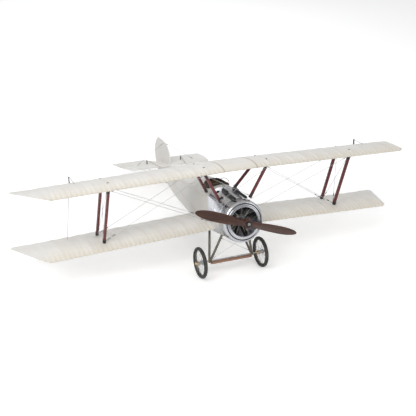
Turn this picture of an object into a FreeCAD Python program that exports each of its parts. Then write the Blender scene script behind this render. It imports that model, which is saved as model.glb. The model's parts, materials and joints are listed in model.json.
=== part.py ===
import FreeCAD, Part
import math
import os

# Biplane scale model, standing on its two wheels and its tail skid.  Lengths in mm, angles in degrees.
# Every piece is built in the aircraft's own axes: X to port, Y aft from the cowling's front face,
# Z up from the propeller shaft's line.  The last section pitches the whole aircraft nose-up onto
# the ground and puts the origin under the middle of it.

V = FreeCAD.Vector
X_AXIS = V(1, 0, 0)
Y_AXIS = V(0, 1, 0)
Z_AXIS = V(0, 0, 1)
ORIGIN = V(0, 0, 0)

# ---- stance -------------------------------------------------------------------------------------
ground_angle = 17.4            # nose-up pitch at which wheels and skid both touch the ground

# ---- fits ---------------------------------------------------------------------------------------
running_gap = 0.05             # radial gap of a shaft that turns in its bearing
seat_gap = 0.1                 # gap between pieces glued or screwed to each other
moving_gap = 0.6               # gap between pieces that move past each other

# ---- wings --------------------------------------------------------------------------------------
wing_span = 1500.0
wing_chord = 241.0
wing_thickness_ratio = 0.09    # section thickness as a share of the chord
wing_camber_ratio = 0.045      # height of the camber line as a share of the chord
camber_place = 0.4             # where along the chord the camber line is highest
trailing_edge_thickness = 1.6
skin_thickness = 0.8
top_leading_edge_y = 5.0
top_leading_edge_z = 184.5
top_incidence = 1.7
stagger = 116.0                # how far the lower wing sits behind the top wing
lower_leading_edge_z = -42.5
lower_incidence = -2.0
top_droop = 1.2                # each half wing slopes down towards its tip by these angles
lower_droop = 2.0
centre_section_half = 62.0
lower_root_x = 62.0            # lower wing's root rib, against the fuselage side
panel_joint_gap = 0.6
front_spar_place = 0.18        # share of the chord
rear_spar_place = 0.56
spar_width = 5.0
frame_end_margin = 95.0        # spars and ribs stop this far short of the tip
rib_thickness = 2.0
rib_spacing = 47.0
tip_rake = 84.0                # how far inboard of the furthest point the leading edge's corner lies
tip_widest_place = 0.93        # share of the chord at which the wing is widest
tip_rear_step = 10.0           # how far inboard the trailing edge's corner lies
tip_front_radius = 30.0
tip_middle_radius = 8.0
tip_rear_radius = 6.0
tip_edge_thickness = 2.4
tip_edge_z = 2.4                # height of the tip's edge above the chord line
tip_taper_length = 26.0

# ---- ailerons -----------------------------------------------------------------------------------
aileron_inner_x = 430.0
aileron_hinge_place = 0.66     # share of the chord
aileron_end_gap = 1.5
aileron_horn_x = 557.0
aileron_horn_height = 21.0
aileron_horn_thickness = 2.4
link_wire_radius = 0.7
link_offset = 16.0             # the link's pivots lie this far behind the hinge lines
link_eye_radius = 1.1          # the cross pin at each end of the link, which the aileron turns about
link_eye_length = 2.6
link_slot_width = 3.4
link_seat_gap = 0.3
aileron_travel = 18.0          # degrees each way
aileron_wire_exit = 0.40       # share of the chord at which the horn's wire leaves the wing
aileron_wire_spread = 2.0      # how far inboard of its horn the wire leaves the wing

# ---- struts -------------------------------------------------------------------------------------
interplane_strut_x = 458.0
strut_depth = 16.0             # along the flight direction
strut_width = 10.5
cabane_top_x = 119.0
cabane_foot_x = 57.0
cabane_front_foot = (68.0, 66.0)   # y, z
cabane_rear_foot = (193.0, 82.0)
cabane_depth = 15.0
fitting_height = 7.0
screw_head_radius = 3.2
screw_head_height = 1.2

# ---- wires --------------------------------------------------------------------------------------
wire_radius = 0.7
control_wire_radius = 0.9      # the runs to the ailerons, elevators and rudder
wire_stand_off = 1.2           # a wire's centre line runs this far from the strut that it is fixed to
incidence_wire_offset = 3.0    # keeps the crossing wires between the struts apart
turnbuckle_radius = 1.4
turnbuckle_length = 12.0
turnbuckle_distance = 26.0     # from the wire's lower end

# ---- fuselage -----------------------------------------------------------------------------------
cowling_radius = 77.0
cowling_opening_radius = 51.5
cowling_lip_radius = 68.0
cowling_length = 46.0
cowling_thickness = 1.2
firewall_y = 74.0
firewall_thickness = 3.0
nose_end_y = 172.0             # metal panels end here and the fabric starts
stern_y = 797.0
fuselage_skin = 1.2
longeron_size = 5.0
former_thickness = 3.0
loft_spacing = 48.0            # distance between the stations that shape the covering
longeron_end_gap = 0.5
frame_gap = 0.6                # between the covering and the frame under it
cockpit_front_y = 200.0
cockpit_length = 66.0
cockpit_half_width = 43.0
coaming_radius = 3.6

# ---- engine and propeller -----------------------------------------------------------------------
cylinder_count = 9
cylinder_radius = 7.0
cylinder_fin_radius = 9.0
cylinder_fin_count = 7
cylinder_fin_thickness = 1.2
first_fin_height = 5.6         # above the crankcase, where the fins of neighbours clear each other
crankcase_radius = 22.0
engine_y = 38.0                # plane through the cylinders' axes
engine_depth = 26.0
cylinder_top_radius = 64.0
shaft_radius = 4.0
propeller_radius = 200.0
propeller_y = -23.0
propeller_turn = 19.4          # how far the blades are turned from the horizontal
blade_chord = 38.0
hub_radius = 17.0
hub_half_length = 10.5
hub_plate_radius = 10.4
hub_plate_thickness = 1.6
nut_radius = 5.0
nut_length = 8.0

# ---- undercarriage ------------------------------------------------------------------------------
axle_y = 133.0
axle_z = -162.0
axle_radius = 3.0
wheel_radius = 58.0
wheel_x = 121.0
tyre_tube_radius = 6.5
rim_depth = 3.5
rim_width = 9.0
wheel_hub_radius = 6.0
wheel_hub_length = 22.0
wheel_flange_radius = 8.5
wheel_flange_thickness = 1.4
spoke_count = 24
spoke_radius = 0.45
leg_front_top = (50.0, 84.0, -55.0)
leg_rear_top = (58.0, 181.0, -56.0)
leg_foot_x = 84.0
leg_foot_spread = 4.0
leg_depth = 12.0
leg_width = 8.0
fairing_chord = 24.0
fairing_thickness = 10.0
fairing_drop = 7.5             # the axle lies in the fairing's upper side
binding_length = 9.0
binding_radius = 6.5
collar_radius = 5.2
collar_length = 4.0

# ---- tail ---------------------------------------------------------------------------------------
tail_z = 93.0
tailplane_front_y = 704.0
tailplane_half_span = 190.0
tailplane_front_half_span = 170.0
elevator_hinge_y = 795.0
elevator_rear_y = 908.0
elevator_half_span = 202.0
tail_thickness = 5.0
torque_tube_radius = 2.0
elevator_notch_slope = 0.42    # the elevators' inner ends leave room for the rudder to swing
elevator_notch_start = 9.0
rudder_hinge_y = 806.0
fin_thickness = 4.0
rudder_bottom_z = 32.0
rudder_top_z = 196.0
rudder_rear_y = 909.0
fin_bottom_z = tail_z + tail_thickness / 2 + seat_gap
horn_height = 20.0
horn_thickness = 2.4
elevator_wire_spread = 14.0    # a horn's two wires leave the fuselage this far from their middle
elevator_horn_x = 76.0
skid_x_half = 4.0
skid_tip_y = 862.0


# ---- small makers -------------------------------------------------------------------------------
def rod(start, end, radius):
    """A round bar from one point to the other."""
    span = end - start
    return Part.makeCylinder(radius, span.Length, start, span)


def box(low, high):
    """A box between two corners."""
    size = high - low
    return Part.makeBox(size.x, size.y, size.z, low)


def prism(points, direction):
    """A flat outline, closed and pushed along a direction."""
    wire = Part.makePolygon(list(points) + [points[0]])
    return Part.Face(wire).extrude(direction)


def rounded_outline(corners, radii):
    """A closed wire through the corners, each rounded with its own radius (0 leaves it sharp)."""
    edges = []
    stops = []
    count = len(corners)
    for index in range(count):
        corner = corners[index]
        before = (corners[index - 1] - corner).normalize()
        after = (corners[(index + 1) % count] - corner).normalize()
        radius = radii[index]
        if radius <= 0:
            stops.append((corner, corner, corner))
            continue
        half = before.getAngle(after) / 2
        reach = radius / math.tan(half)
        middle = (before + after).normalize()
        bow = corner + middle * (radius / math.sin(half) - radius)
        stops.append((corner + before * reach, bow, corner + after * reach))
    for index in range(count):
        first, bow, last = stops[index]
        if (last - first).Length > 1e-6:
            edges.append(Part.Arc(first, bow, last).toShape())
        following = stops[(index + 1) % count][0]
        if (following - last).Length > 1e-6:
            edges.append(Part.LineSegment(last, following).toShape())
    return Part.Wire(edges)


def plate(corners, radii, direction):
    """A rounded flat outline pushed along a direction."""
    return Part.Face(rounded_outline(corners, radii)).extrude(direction)


def bar(start, end, depth, width, depth_direction):
    """A straight strut of oval section: depth along one direction, width across it."""
    span = end - start
    along = V(span).normalize()
    deep = (depth_direction - along * depth_direction.dot(along)).normalize()
    ellipse = Part.Ellipse(start + deep * (depth / 2), start + along.cross(deep) * (width / 2), start)
    return Part.Face(Part.Wire(ellipse.toShape())).extrude(span)


def mirrored(shape):
    """The starboard copy of a port piece."""
    return shape.mirror(ORIGIN, X_AXIS)


def group(shapes):
    """Separate solids that share one node."""
    solids = []
    for shape in shapes:
        solids.extend(shape.Solids)
    return Part.makeCompound(solids)


def both_sides(shapes):
    """A group of port pieces with their starboard copies."""
    return group(list(shapes) + [mirrored(shape) for shape in shapes])


def ring(centre, axis, outer, inner, length):
    """A round tube centred on a point."""
    start = centre - V(axis) * (length / 2)
    return Part.makeCylinder(outer, length, start, axis).cut(Part.makeCylinder(inner, length, start, axis))


# ---- wing section and placing -------------------------------------------------------------------
def camber(place):
    if place < camber_place:
        return wing_camber_ratio / camber_place ** 2 * (2 * camber_place * place - place ** 2)
    tail = 1 - 2 * camber_place + 2 * camber_place * place - place ** 2
    return wing_camber_ratio / (1 - camber_place) ** 2 * tail


def half_thickness(place):
    """The four-digit series' thickness, never less than the trailing edge's."""
    shape = 0.2969 * math.sqrt(place) - 0.1260 * place - 0.3516 * place ** 2
    shape += 0.2843 * place ** 3 - 0.1015 * place ** 4
    return 5 * wing_thickness_ratio * shape + place * trailing_edge_thickness / 2 / wing_chord


def surface_z(place, side, inset=0.0):
    """Height of the upper (side 1) or lower (side -1) surface above the chord line."""
    return wing_chord * (camber(place) + side * half_thickness(place)) - side * inset


def section_face(x, first=0.0, last=1.0, inset=0.0, steps=14):
    """The wing's section at x, between two places along the chord and inset from the surface."""
    places = [first + (last - first) * (1 - math.cos(math.pi * i / steps)) / 2 for i in range(steps + 1)]
    upper = [V(x, place * wing_chord, surface_z(place, 1, inset)) for place in places]
    lower = [V(x, place * wing_chord, surface_z(place, -1, inset)) for place in places]
    edges = []
    for points in (upper, lower):
        curve = Part.BSplineCurve()
        curve.interpolate(points)
        edges.append(curve.toShape())
    for top, bottom in ((upper[0], lower[0]), (upper[-1], lower[-1])):
        if (top - bottom).Length > 1e-4:
            edges.append(Part.LineSegment(top, bottom).toShape())
    return Part.Face(Part.Wire(Part.__sortEdges__(edges)))


def section_bar(first_x, last_x, first=0.0, last=1.0, inset=0.0):
    """The wing's section pushed along the span."""
    return section_face(first_x, first, last, inset).extrude(V(last_x - first_x, 0, 0))


def place_wing(shape, upper, drooped=True):
    """Moves a port piece from the flat wing's own axes to its place on the aircraft."""
    shape = shape.copy()
    incidence = top_incidence if upper else lower_incidence
    shape.rotate(ORIGIN, X_AXIS, -incidence)
    if upper:
        shape.translate(V(0, top_leading_edge_y, top_leading_edge_z))
    else:
        shape.translate(V(0, top_leading_edge_y + stagger, lower_leading_edge_z))
    if drooped:
        height = top_leading_edge_z if upper else lower_leading_edge_z
        root_x = centre_section_half if upper else lower_root_x
        shape.rotate(V(root_x, 0, height), Y_AXIS, top_droop if upper else lower_droop)
    return shape


def wing_point(x, place, upper, side=1, lift=0.0):
    """A point on the placed port wing's surface, lifted off it by a distance."""
    z = surface_z(place, side) + side * lift
    marker = Part.Vertex(V(x, place * wing_chord, z))
    root_x = centre_section_half if upper else lower_root_x
    return place_wing(marker, upper, x > root_x).Point


hinge_y = aileron_hinge_place * wing_chord
hinge_z = camber(aileron_hinge_place) * wing_chord
hinge_nose = half_thickness(aileron_hinge_place) * wing_chord
cove_radius = hinge_nose + moving_gap
half_span = wing_span / 2


def wing_outline(root_x, inset=0.0):
    """Plan of a half wing as a tall prism: square root, raked and rounded tip."""
    rear = wing_chord + 1.0 - inset
    tip = half_span - inset
    corners = [
        V(root_x, -1.0, -60),
        V(tip - tip_rake, -1.0, -60),
        V(tip + 1.5, tip_widest_place * wing_chord, -60),
        V(tip - tip_rear_step, rear, -60),
        V(root_x, rear, -60),
    ]
    return plate(corners, [0, tip_front_radius, tip_middle_radius, tip_rear_radius, 0], V(0, 0, 120))


def tip_wedge():
    """Everything under the slopes that thin the wing down to its raked tip edge."""
    start = V(half_span - tip_rake, 0, 0)
    end = V(half_span, tip_widest_place * wing_chord, 0)
    along = (end - start).normalize()
    inboard = V(-along.y, along.x, 0)
    middle = V(0, 0, tip_edge_z)
    edge = V(0, 0, tip_edge_thickness / 2)
    full = V(0, 0, wing_chord * wing_thickness_ratio)
    first = start - along * wing_chord
    reach = inboard * tip_taper_length
    far = inboard * (2 * half_span)
    points = [
        first - inboard * 20 + middle - edge,
        first - inboard * 20 + middle + edge,
        first + middle + edge,
        first + reach + middle + full,
        first + far + middle + full,
        first + far + middle - full,
        first + reach + middle - full,
        first + middle - edge,
    ]
    return prism(points, along * (3 * wing_chord))


def aileron_space():
    """The part of the wing that belongs to the aileron."""
    return box(V(aileron_inner_x, hinge_y, -60), V(half_span + 20, wing_chord + 20, 60))


def wing_covering(root_x):
    """Hollow fabric covering of a port half wing, with the aileron's place left open."""
    outer = section_bar(root_x, half_span + 2).common(wing_outline(root_x)).common(tip_wedge())
    outer = outer.cut(aileron_space())
    cove = Part.makeCylinder(cove_radius, half_span, V(aileron_inner_x, hinge_y, hinge_z), X_AXIS)
    outer = outer.cut(cove)
    inner_end = half_span - frame_end_margin
    inner_front = section_bar(root_x + skin_thickness, inner_end, 0.03, 0.60, skin_thickness)
    rear_start = root_x + skin_thickness
    rear_end = aileron_inner_x - skin_thickness
    inner_rear = section_bar(rear_start, rear_end, 0.60, 0.95, skin_thickness)
    return outer.cut(inner_front.fuse(inner_rear))


def aileron():
    """A port aileron: round nose on the hinge line, thin trailing edge, tip shared with the wing."""
    body = section_bar(aileron_inner_x + aileron_end_gap, half_span + 2, 0.3, 1.0)
    body = body.common(box(V(0, hinge_y, -60), V(half_span + 20, wing_chord + 20, 60)))
    start = V(aileron_inner_x + aileron_end_gap, hinge_y, hinge_z)
    nose = Part.makeCylinder(hinge_nose, half_span + 2 - start.x, start, X_AXIS)
    body = body.fuse(nose).removeSplitter()
    return body.common(wing_outline(aileron_inner_x)).common(tip_wedge())


def spars(root_x):
    """The two main spars of a port half wing."""
    pieces = []
    end = half_span - frame_end_margin - seat_gap
    for place in (front_spar_place, rear_spar_place):
        y = place * wing_chord
        reach = spar_width / 2 / wing_chord
        top = min(surface_z(place - reach, 1), surface_z(place + reach, 1)) - skin_thickness - seat_gap
        bottom = max(surface_z(place - reach, -1), surface_z(place + reach, -1)) + skin_thickness + seat_gap
        low = V(root_x + skin_thickness + seat_gap, y - spar_width / 2, bottom)
        pieces.append(box(low, V(end, y + spar_width / 2, top)))
    return pieces


def ribs(first_x, last_x, spar_pieces):
    """Evenly spaced ribs that fill the covering, notched for the spars and stopped at the aileron."""
    pieces = []
    count = int((last_x - first_x) / rib_spacing)
    notch = []
    for spar in spar_pieces:
        bounds = spar.BoundBox
        low = V(first_x - 10, bounds.YMin - seat_gap, bounds.ZMin - 5)
        notch.append(box(low, V(last_x + 10, bounds.YMax + seat_gap, bounds.ZMax + 5)))
    for index in range(count + 1):
        x = first_x + index * (last_x - first_x - rib_thickness) / count
        rear = 0.59 if x + rib_thickness > aileron_inner_x - 4 * skin_thickness else 0.94
        rib = section_bar(x, x + rib_thickness, 0.035, rear, skin_thickness + seat_gap)
        pieces.extend(rib.cut(Part.makeCompound(notch)).Solids)
    return pieces


nodes = {}

# ---- wings --------------------------------------------------------------------------------------
centre_reach = centre_section_half - panel_joint_gap
centre_outer = section_bar(-centre_reach, centre_reach)
inner_reach = centre_reach - skin_thickness
centre_inner = section_bar(-inner_reach, inner_reach, 0.03, 0.95, skin_thickness)
nodes["top_wing_covering_centre"] = place_wing(centre_outer.cut(centre_inner), True, False)

for upper, level in ((True, "top"), (False, "lower")):
    root_x = centre_section_half if upper else lower_root_x
    covering = place_wing(wing_covering(root_x), upper)
    nodes[level + "_wing_covering_port"] = covering
    nodes[level + "_wing_covering_starboard"] = mirrored(covering)
    spar_pieces = spars(root_x)
    rib_first = root_x + skin_thickness + seat_gap
    rib_last = half_span - frame_end_margin - seat_gap
    rib_pieces = ribs(rib_first, rib_last, spar_pieces)
    placed_spars = [place_wing(piece, upper) for piece in spar_pieces]
    placed_ribs = [place_wing(piece, upper) for piece in rib_pieces]
    spar_node = both_sides(placed_spars)
    rib_node = both_sides(placed_ribs)
    if upper:
        centre_spars = []
        for piece in spar_pieces:
            bounds = piece.BoundBox
            reach = centre_reach - skin_thickness - seat_gap
            centre_spars.append(box(V(-reach, bounds.YMin, bounds.ZMin), V(reach, bounds.YMax, bounds.ZMax)))
        centre_end = centre_reach - skin_thickness - seat_gap
        centre_ribs = ribs(-centre_end, centre_end, centre_spars)
        spar_node = group([spar_node] + [place_wing(piece, True, False) for piece in centre_spars])
        rib_node = group([rib_node] + [place_wing(piece, True, False) for piece in centre_ribs])
    nodes[level + "_wing_spars"] = spar_node
    nodes[level + "_wing_ribs"] = rib_node

# ---- ailerons, their horns and the links between them -------------------------------------------
flat_aileron = aileron()
hinge_points = {}
for upper in (True, False):
    marker = Part.Vertex(V(aileron_horn_x, hinge_y, hinge_z))
    hinge_points[upper] = place_wing(marker, upper).Point
link_top = hinge_points[True] + V(0, link_offset, 0)
link_bottom = hinge_points[False] + V(0, link_offset, 0)
link_along = (link_bottom - link_top).normalize()
slot_reach = hinge_nose * 2.0
slot_length = 2 * (slot_reach * math.tan(math.radians(aileron_travel)) + link_wire_radius + moving_gap)


def link_slot(pivot, away):
    """The slot in an aileron that a link's end turns in."""
    start = pivot - away * (link_eye_radius + link_seat_gap)
    return bar(start, pivot + away * slot_reach, slot_length, link_slot_width, Y_AXIS)


top_hole = link_slot(link_top, link_along)
bottom_hole = link_slot(link_bottom, link_along * -1)
link = rod(link_top, link_bottom, link_wire_radius)
for pivot in (link_top, link_bottom):
    pin_start = pivot - X_AXIS * (link_eye_length / 2)
    link = link.fuse(Part.makeCylinder(link_eye_radius, link_eye_length, pin_start, X_AXIS))
horn_side = aileron_horn_x - aileron_horn_thickness / 2
horn_foot_z = hinge_z + hinge_nose * 0.6
horn_top_z = hinge_z + hinge_nose + aileron_horn_height
horn_corners = [
    V(horn_side, hinge_y + 2.5, horn_foot_z),
    V(horn_side, hinge_y + 10.0, horn_foot_z),
    V(horn_side, hinge_y + 6.0, horn_top_z),
    V(horn_side, hinge_y + 2.0, horn_top_z),
]
flat_horn = prism(horn_corners, V(aileron_horn_thickness, 0, 0))
horn_tip = V(aileron_horn_x, hinge_y + 4.0, horn_top_z - 2.0)
horn_tip = place_wing(Part.Vertex(horn_tip), True).Point
top_aileron = place_wing(flat_aileron, True).cut(top_hole)
lower_aileron = place_wing(flat_aileron, False).cut(bottom_hole)
horn = place_wing(flat_horn.cut(flat_aileron), True)
nodes["top_aileron_port"] = top_aileron
nodes["top_aileron_starboard"] = mirrored(top_aileron)
nodes["lower_aileron_port"] = lower_aileron
nodes["lower_aileron_starboard"] = mirrored(lower_aileron)
nodes["aileron_horn_port"] = horn
nodes["aileron_horn_starboard"] = mirrored(horn)
nodes["aileron_link_port"] = link
nodes["aileron_link_starboard"] = mirrored(link)
wire_foot_x = aileron_horn_x - aileron_wire_spread
wire_foot = wing_point(wire_foot_x, aileron_wire_exit, True, 1, control_wire_radius + link_seat_gap)
wire_head = horn_tip - X_AXIS * (aileron_horn_thickness / 2 + control_wire_radius + seat_gap)
nodes["aileron_control_wires"] = both_sides([rod(wire_head, wire_foot, control_wire_radius)])

# ---- struts with their end fittings and screws --------------------------------------------------
strut_pieces = []
cabane_pieces = []
fitting_pieces = []
wire_ends = {}


def add_strut(name, foot, top, depth, pieces):
    """A wooden strut between two surfaces, with a dark metal fitting at each end."""
    along = (top - foot).normalize()
    lower_end = foot + along * fitting_height
    upper_end = top - along * fitting_height
    pieces.append(bar(lower_end, upper_end, depth, strut_width, Y_AXIS))
    step = along * seat_gap
    for start, end in ((foot, lower_end), (upper_end, top)):
        fitting_pieces.append(bar(start + step, end - step, depth + 1, strut_width + 1, Y_AXIS))
    wire_ends[name] = (lower_end, upper_end)


def add_screw(x, place):
    """A screw head on top of the top wing, over a strut's end."""
    root = wing_point(x, place, True, 1, seat_gap)
    head = wing_point(x, place, True, 1, seat_gap + screw_head_height)
    fitting_pieces.append(rod(root, head, screw_head_radius))


cabane_feet = {"front": cabane_front_foot, "rear": cabane_rear_foot}
for end, place in (("front", front_spar_place), ("rear", rear_spar_place)):
    foot = wing_point(interplane_strut_x, place, False, 1, 1.2)
    top = wing_point(interplane_strut_x, place, True, -1, 1.2)
    add_strut("interplane_" + end, foot, top, strut_depth, strut_pieces)
    add_screw(interplane_strut_x, place)
    foot_y, foot_z = cabane_feet[end]
    foot = V(cabane_foot_x, foot_y, foot_z)
    top = wing_point(cabane_top_x, place, True, -1, 1.2)
    add_strut("cabane_" + end, foot, top, cabane_depth, cabane_pieces)
    add_screw(cabane_top_x, place)
nodes["interplane_struts"] = both_sides(strut_pieces)
nodes["cabane_struts"] = both_sides(cabane_pieces)
wing_solids = [
    place_wing(section_bar(centre_section_half, half_span - tip_rake, 0.0, 1.0, -seat_gap), True),
    place_wing(section_bar(-centre_section_half, centre_section_half, 0.0, 1.0, -seat_gap), True, False),
    place_wing(section_bar(lower_root_x, half_span - tip_rake, 0.0, 1.0, -seat_gap), False),
]
fittings = both_sides([piece.cut(wing_solids) for piece in fitting_pieces])
nodes["strut_fittings"] = fittings


# ---- fuselage sections --------------------------------------------------------------------------
# Each station: y, half width and height of the lower corners, half width and height of the
# shoulders, height of the keel, half width at the middle of the side, height of the top.
round_corner = cowling_radius * math.sqrt(0.5)
stations = [
    (cowling_length, round_corner, -round_corner, round_corner, round_corner, -cowling_radius, cowling_radius,
     cowling_radius + 1.0),
    (100.0, 57.0, -55.0, 58.5, 60.0, -71.0, 72.0, 87.0),
    (nose_end_y, 59.0, -55.0, 60.0, 70.0, -60.0, 63.5, 97.0),
    (300.0, 55.0, -50.0, 55.0, 76.0, -52.0, 57.0, 107.0),
    (450.0, 43.5, -36.0, 43.5, 80.0, -37.0, 44.6, 104.0),
    (640.0, 24.5, -9.0, 24.5, 84.0, -9.7, 25.2, 96.0),
    (stern_y, 4.0, 22.0, 4.0, 87.0, 21.5, 4.3, 90.0),
]


def slope_at(index, column):
    """How fast one measure of the fuselage changes along it, at a listed station."""
    before = stations[max(index - 1, 0)]
    after = stations[min(index + 1, len(stations) - 1)]
    return (after[column] - before[column]) / (after[0] - before[0])


def station_at(y):
    """A station between two of the listed ones, on smooth curves through them."""
    index = 0
    while index < len(stations) - 2 and y > stations[index + 1][0]:
        index += 1
    first, last = stations[index], stations[index + 1]
    length = last[0] - first[0]
    t = (y - first[0]) / length
    measures = [y]
    for column in range(1, len(first)):
        value = (2 * t ** 3 - 3 * t ** 2 + 1) * first[column] + (3 * t ** 2 - 2 * t ** 3) * last[column]
        value += (t ** 3 - 2 * t ** 2 + t) * length * slope_at(index, column)
        value += (t ** 3 - t ** 2) * length * slope_at(index + 1, column)
        measures.append(value)
    return tuple(measures)


def station_wire(station, inset=0.0):
    """The fuselage's outline at a station: bottom, two sides and an arched top."""
    y, low_w, low_z, top_w, top_z, keel_z, side_w, crown_z = station
    low_w -= inset
    top_w -= inset
    low_z += inset
    top_z -= inset
    middle_z = (low_z + top_z) / 2
    left_low, right_low = V(-low_w, y, low_z), V(low_w, y, low_z)
    left_top, right_top = V(-top_w, y, top_z), V(top_w, y, top_z)
    edges = [
        Part.Arc(left_low, V(0, y, keel_z + inset), right_low).toShape(),
        Part.Arc(right_low, V(side_w - inset, y, middle_z), right_top).toShape(),
        Part.Arc(right_top, V(0, y, crown_z - inset), left_top).toShape(),
        Part.Arc(left_top, V(-side_w + inset, y, middle_z), left_low).toShape(),
    ]
    return Part.Wire(edges)


def fuselage_loft(first_y, last_y, inset=0.0):
    """A solid through closely spaced stations between two places."""
    count = max(2, round((last_y - first_y) / loft_spacing))
    ys = [first_y + (last_y - first_y) * i / count for i in range(count + 1)]
    return Part.makeLoft([station_wire(station_at(y), inset) for y in ys], True, True)


fabric = fuselage_loft(nose_end_y + seat_gap, stern_y)
fabric = fabric.cut(fuselage_loft(nose_end_y - 1.0, stern_y - 12.0, fuselage_skin))
cockpit_rear_y = cockpit_front_y + cockpit_length
cockpit_cut = plate(
    [
        V(-cockpit_half_width, cockpit_front_y, 40),
        V(cockpit_half_width, cockpit_front_y, 40),
        V(cockpit_half_width * 0.86, cockpit_rear_y, 40),
        V(-cockpit_half_width * 0.86, cockpit_rear_y, 40),
    ],
    [14.0, 14.0, 26.0, 26.0],
    V(0, 0, 120),
)
root_bar = section_bar(lower_root_x - seat_gap, lower_root_x + 60, 0.0, 1.0, -seat_gap)
wing_root_cut = place_wing(root_bar, False, False)
fabric = fabric.cut(cockpit_cut).cut(wing_root_cut).cut(mirrored(wing_root_cut))
tube_cut_start = V(-30, elevator_hinge_y, tail_z)
elevator_tube_cut = Part.makeCylinder(torque_tube_radius + moving_gap, 60, tube_cut_start, X_AXIS)
tailplane_room = box(V(-60, tailplane_front_y - seat_gap, tail_z - tail_thickness / 2 - seat_gap),
                     V(60, stern_y + 20, tail_z + 60))
nodes["fuselage_covering"] = fabric.cut(elevator_tube_cut).cut(tailplane_room)

nose_shell = fuselage_loft(cowling_length + seat_gap, nose_end_y)
nose_shell = nose_shell.cut(fuselage_loft(cowling_length, nose_end_y + 1.0, fuselage_skin))
deck_line_z = 46.0
deck_zone = box(V(-120, 0, deck_line_z), V(120, 300, 160))
gun_x = 21.0
gun_radius = 4.6
gun_start = V(gun_x, 12.0, cowling_radius + 2.6)
gun_end = V(gun_x, 160.0, 97.5)
barrel_length = 74.0
breech_length = 40.0
gun_along = (gun_end - gun_start).normalize()
trough = rod(gun_start - gun_along * 20, gun_start + gun_along * (barrel_length + 0.5), gun_radius + 2.4)
breech_start = gun_start + gun_along * (barrel_length + seat_gap)
breech_hole = bar(breech_start - gun_along, breech_start + gun_along * (breech_length + 1), 13.8, 9.8, Z_AXIS)
trough = trough.fuse(breech_hole)
nodes["side_panels"] = nose_shell.cut(deck_zone).cut(wing_root_cut).cut(mirrored(wing_root_cut))
nodes["top_decking"] = nose_shell.common(deck_zone.copy()).cut(trough).cut(mirrored(trough))

barrel = rod(gun_start + gun_along * 8, gun_start + gun_along * barrel_length, gun_radius)
breech = bar(breech_start, breech_start + gun_along * breech_length, 13.0, 9.0, Z_AXIS)
nodes["machine_guns"] = both_sides([barrel, breech])

# ---- fuselage frame, firewall and cockpit -------------------------------------------------------
frame_inset = fuselage_skin + frame_gap
frame_pieces = []
former_ys = [nose_end_y + 8.0, cockpit_rear_y + 22.0, 380.0, 470.0, 560.0, 650.0, 735.0]
longeron_runs = []
longeron_room = []
for first_y, last_y in zip(former_ys, former_ys[1:]):
    first, last = station_at(first_y), station_at(last_y)
    inward = frame_inset + longeron_size
    for upper_corner in (False, True):
        spot = []
        run_start = first_y + former_thickness + longeron_end_gap
        run_end = last_y - longeron_end_gap
        for station, y in ((first, run_start), (last, run_end)):
            width = station[3] if upper_corner else station[1]
            height = station[4] - inward if upper_corner else station[2] + inward
            spot.append(V(width - inward, y, height))
        longeron_runs.append(rod(spot[0], spot[1], longeron_size / 2))
        longeron_room.append(rod(spot[0], spot[1], longeron_size / 2 + seat_gap))
frame_pieces.extend(longeron_runs)
frame_pieces.extend(mirrored(piece) for piece in longeron_runs)
for y in former_ys:
    outline = Part.Face(station_wire(station_at(y), frame_inset)).extrude(V(0, former_thickness, 0))
    station = station_at(y)
    if y < cockpit_rear_y:
        window = box(V(-station[1] + 14, y - 1, station[2] + 14), V(station[1] - 14, y + 9, 200))
    else:
        reach = station[1] * 0.45
        window = box(V(-reach, y - 1, station[2] + 14), V(reach, y + 9, station[4] - 12))
    frame_pieces.append(outline.cut(window).cut(tailplane_room))
nodes["fuselage_frame"] = group(frame_pieces)

firewall_station = station_at(firewall_y - firewall_thickness)
firewall = Part.Face(station_wire(firewall_station, frame_inset)).extrude(V(0, firewall_thickness, 0))
firewall = firewall.common(box(V(-120, 0, -120), V(120, 200, gun_start.z - gun_radius - 4)))
nodes["firewall"] = firewall.cut(Part.makeCylinder(shaft_radius + 2, 30, V(0, firewall_y - 15, 0), Y_AXIS))
panel_station = station_at(nose_end_y + 22.0)
panel_y = nose_end_y + 22.0
panel = Part.Face(station_wire(panel_station, frame_inset)).extrude(V(0, 2.5, 0))
for piece in longeron_room[:2]:
    panel = panel.cut(piece).cut(mirrored(piece))
nodes["instrument_panel"] = panel.common(box(V(-80, panel_y - 5, 38), V(80, panel_y + 9, 200)))

seat_y = cockpit_rear_y - 8.0
seat_low = -8.0
seat_board = box(V(-22, seat_y - 36, seat_low), V(22, seat_y, seat_low + 5))
seat_back = plate(
    [V(-22, seat_y + 0.1, seat_low), V(22, seat_y + 0.1, seat_low),
     V(20, seat_y + 0.1, seat_low + 62), V(-20, seat_y + 0.1, seat_low + 62)],
    [0, 0, 14, 14], V(0, 4, 0))
floor_top = seat_low - 6.0
floor_start = former_ys[0] + former_thickness + seat_gap
floor_board = box(V(-49, floor_start, floor_top - 4), V(49, former_ys[1] - seat_gap, floor_top))
seat_leg = box(V(-18, seat_y - 30, floor_top), V(18, seat_y - 4, seat_low))
nodes["pilot_seat"] = group([seat_board.fuse(seat_back).fuse(seat_leg).fuse(floor_board).removeSplitter()])
stick_foot = V(0, seat_y - 40, floor_top + seat_gap)
stick_top = V(0, seat_y - 36, 52)
stick = rod(stick_foot, stick_top, 2.2)
grip = ring(stick_top + V(0, 0, 8), Y_AXIS, 9.0, 5.5, 4.0)
nodes["control_column"] = group([stick.fuse(grip)])


def deck_height(x, y):
    """Height of the arched decking above a point."""
    station = station_at(y)
    half, shoulder, crown = station[3], station[4], station[7]
    rise = crown - shoulder
    radius = (half ** 2 + rise ** 2) / (2 * rise)
    return crown - radius + math.sqrt(max(radius ** 2 - x ** 2, 0.0))


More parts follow.
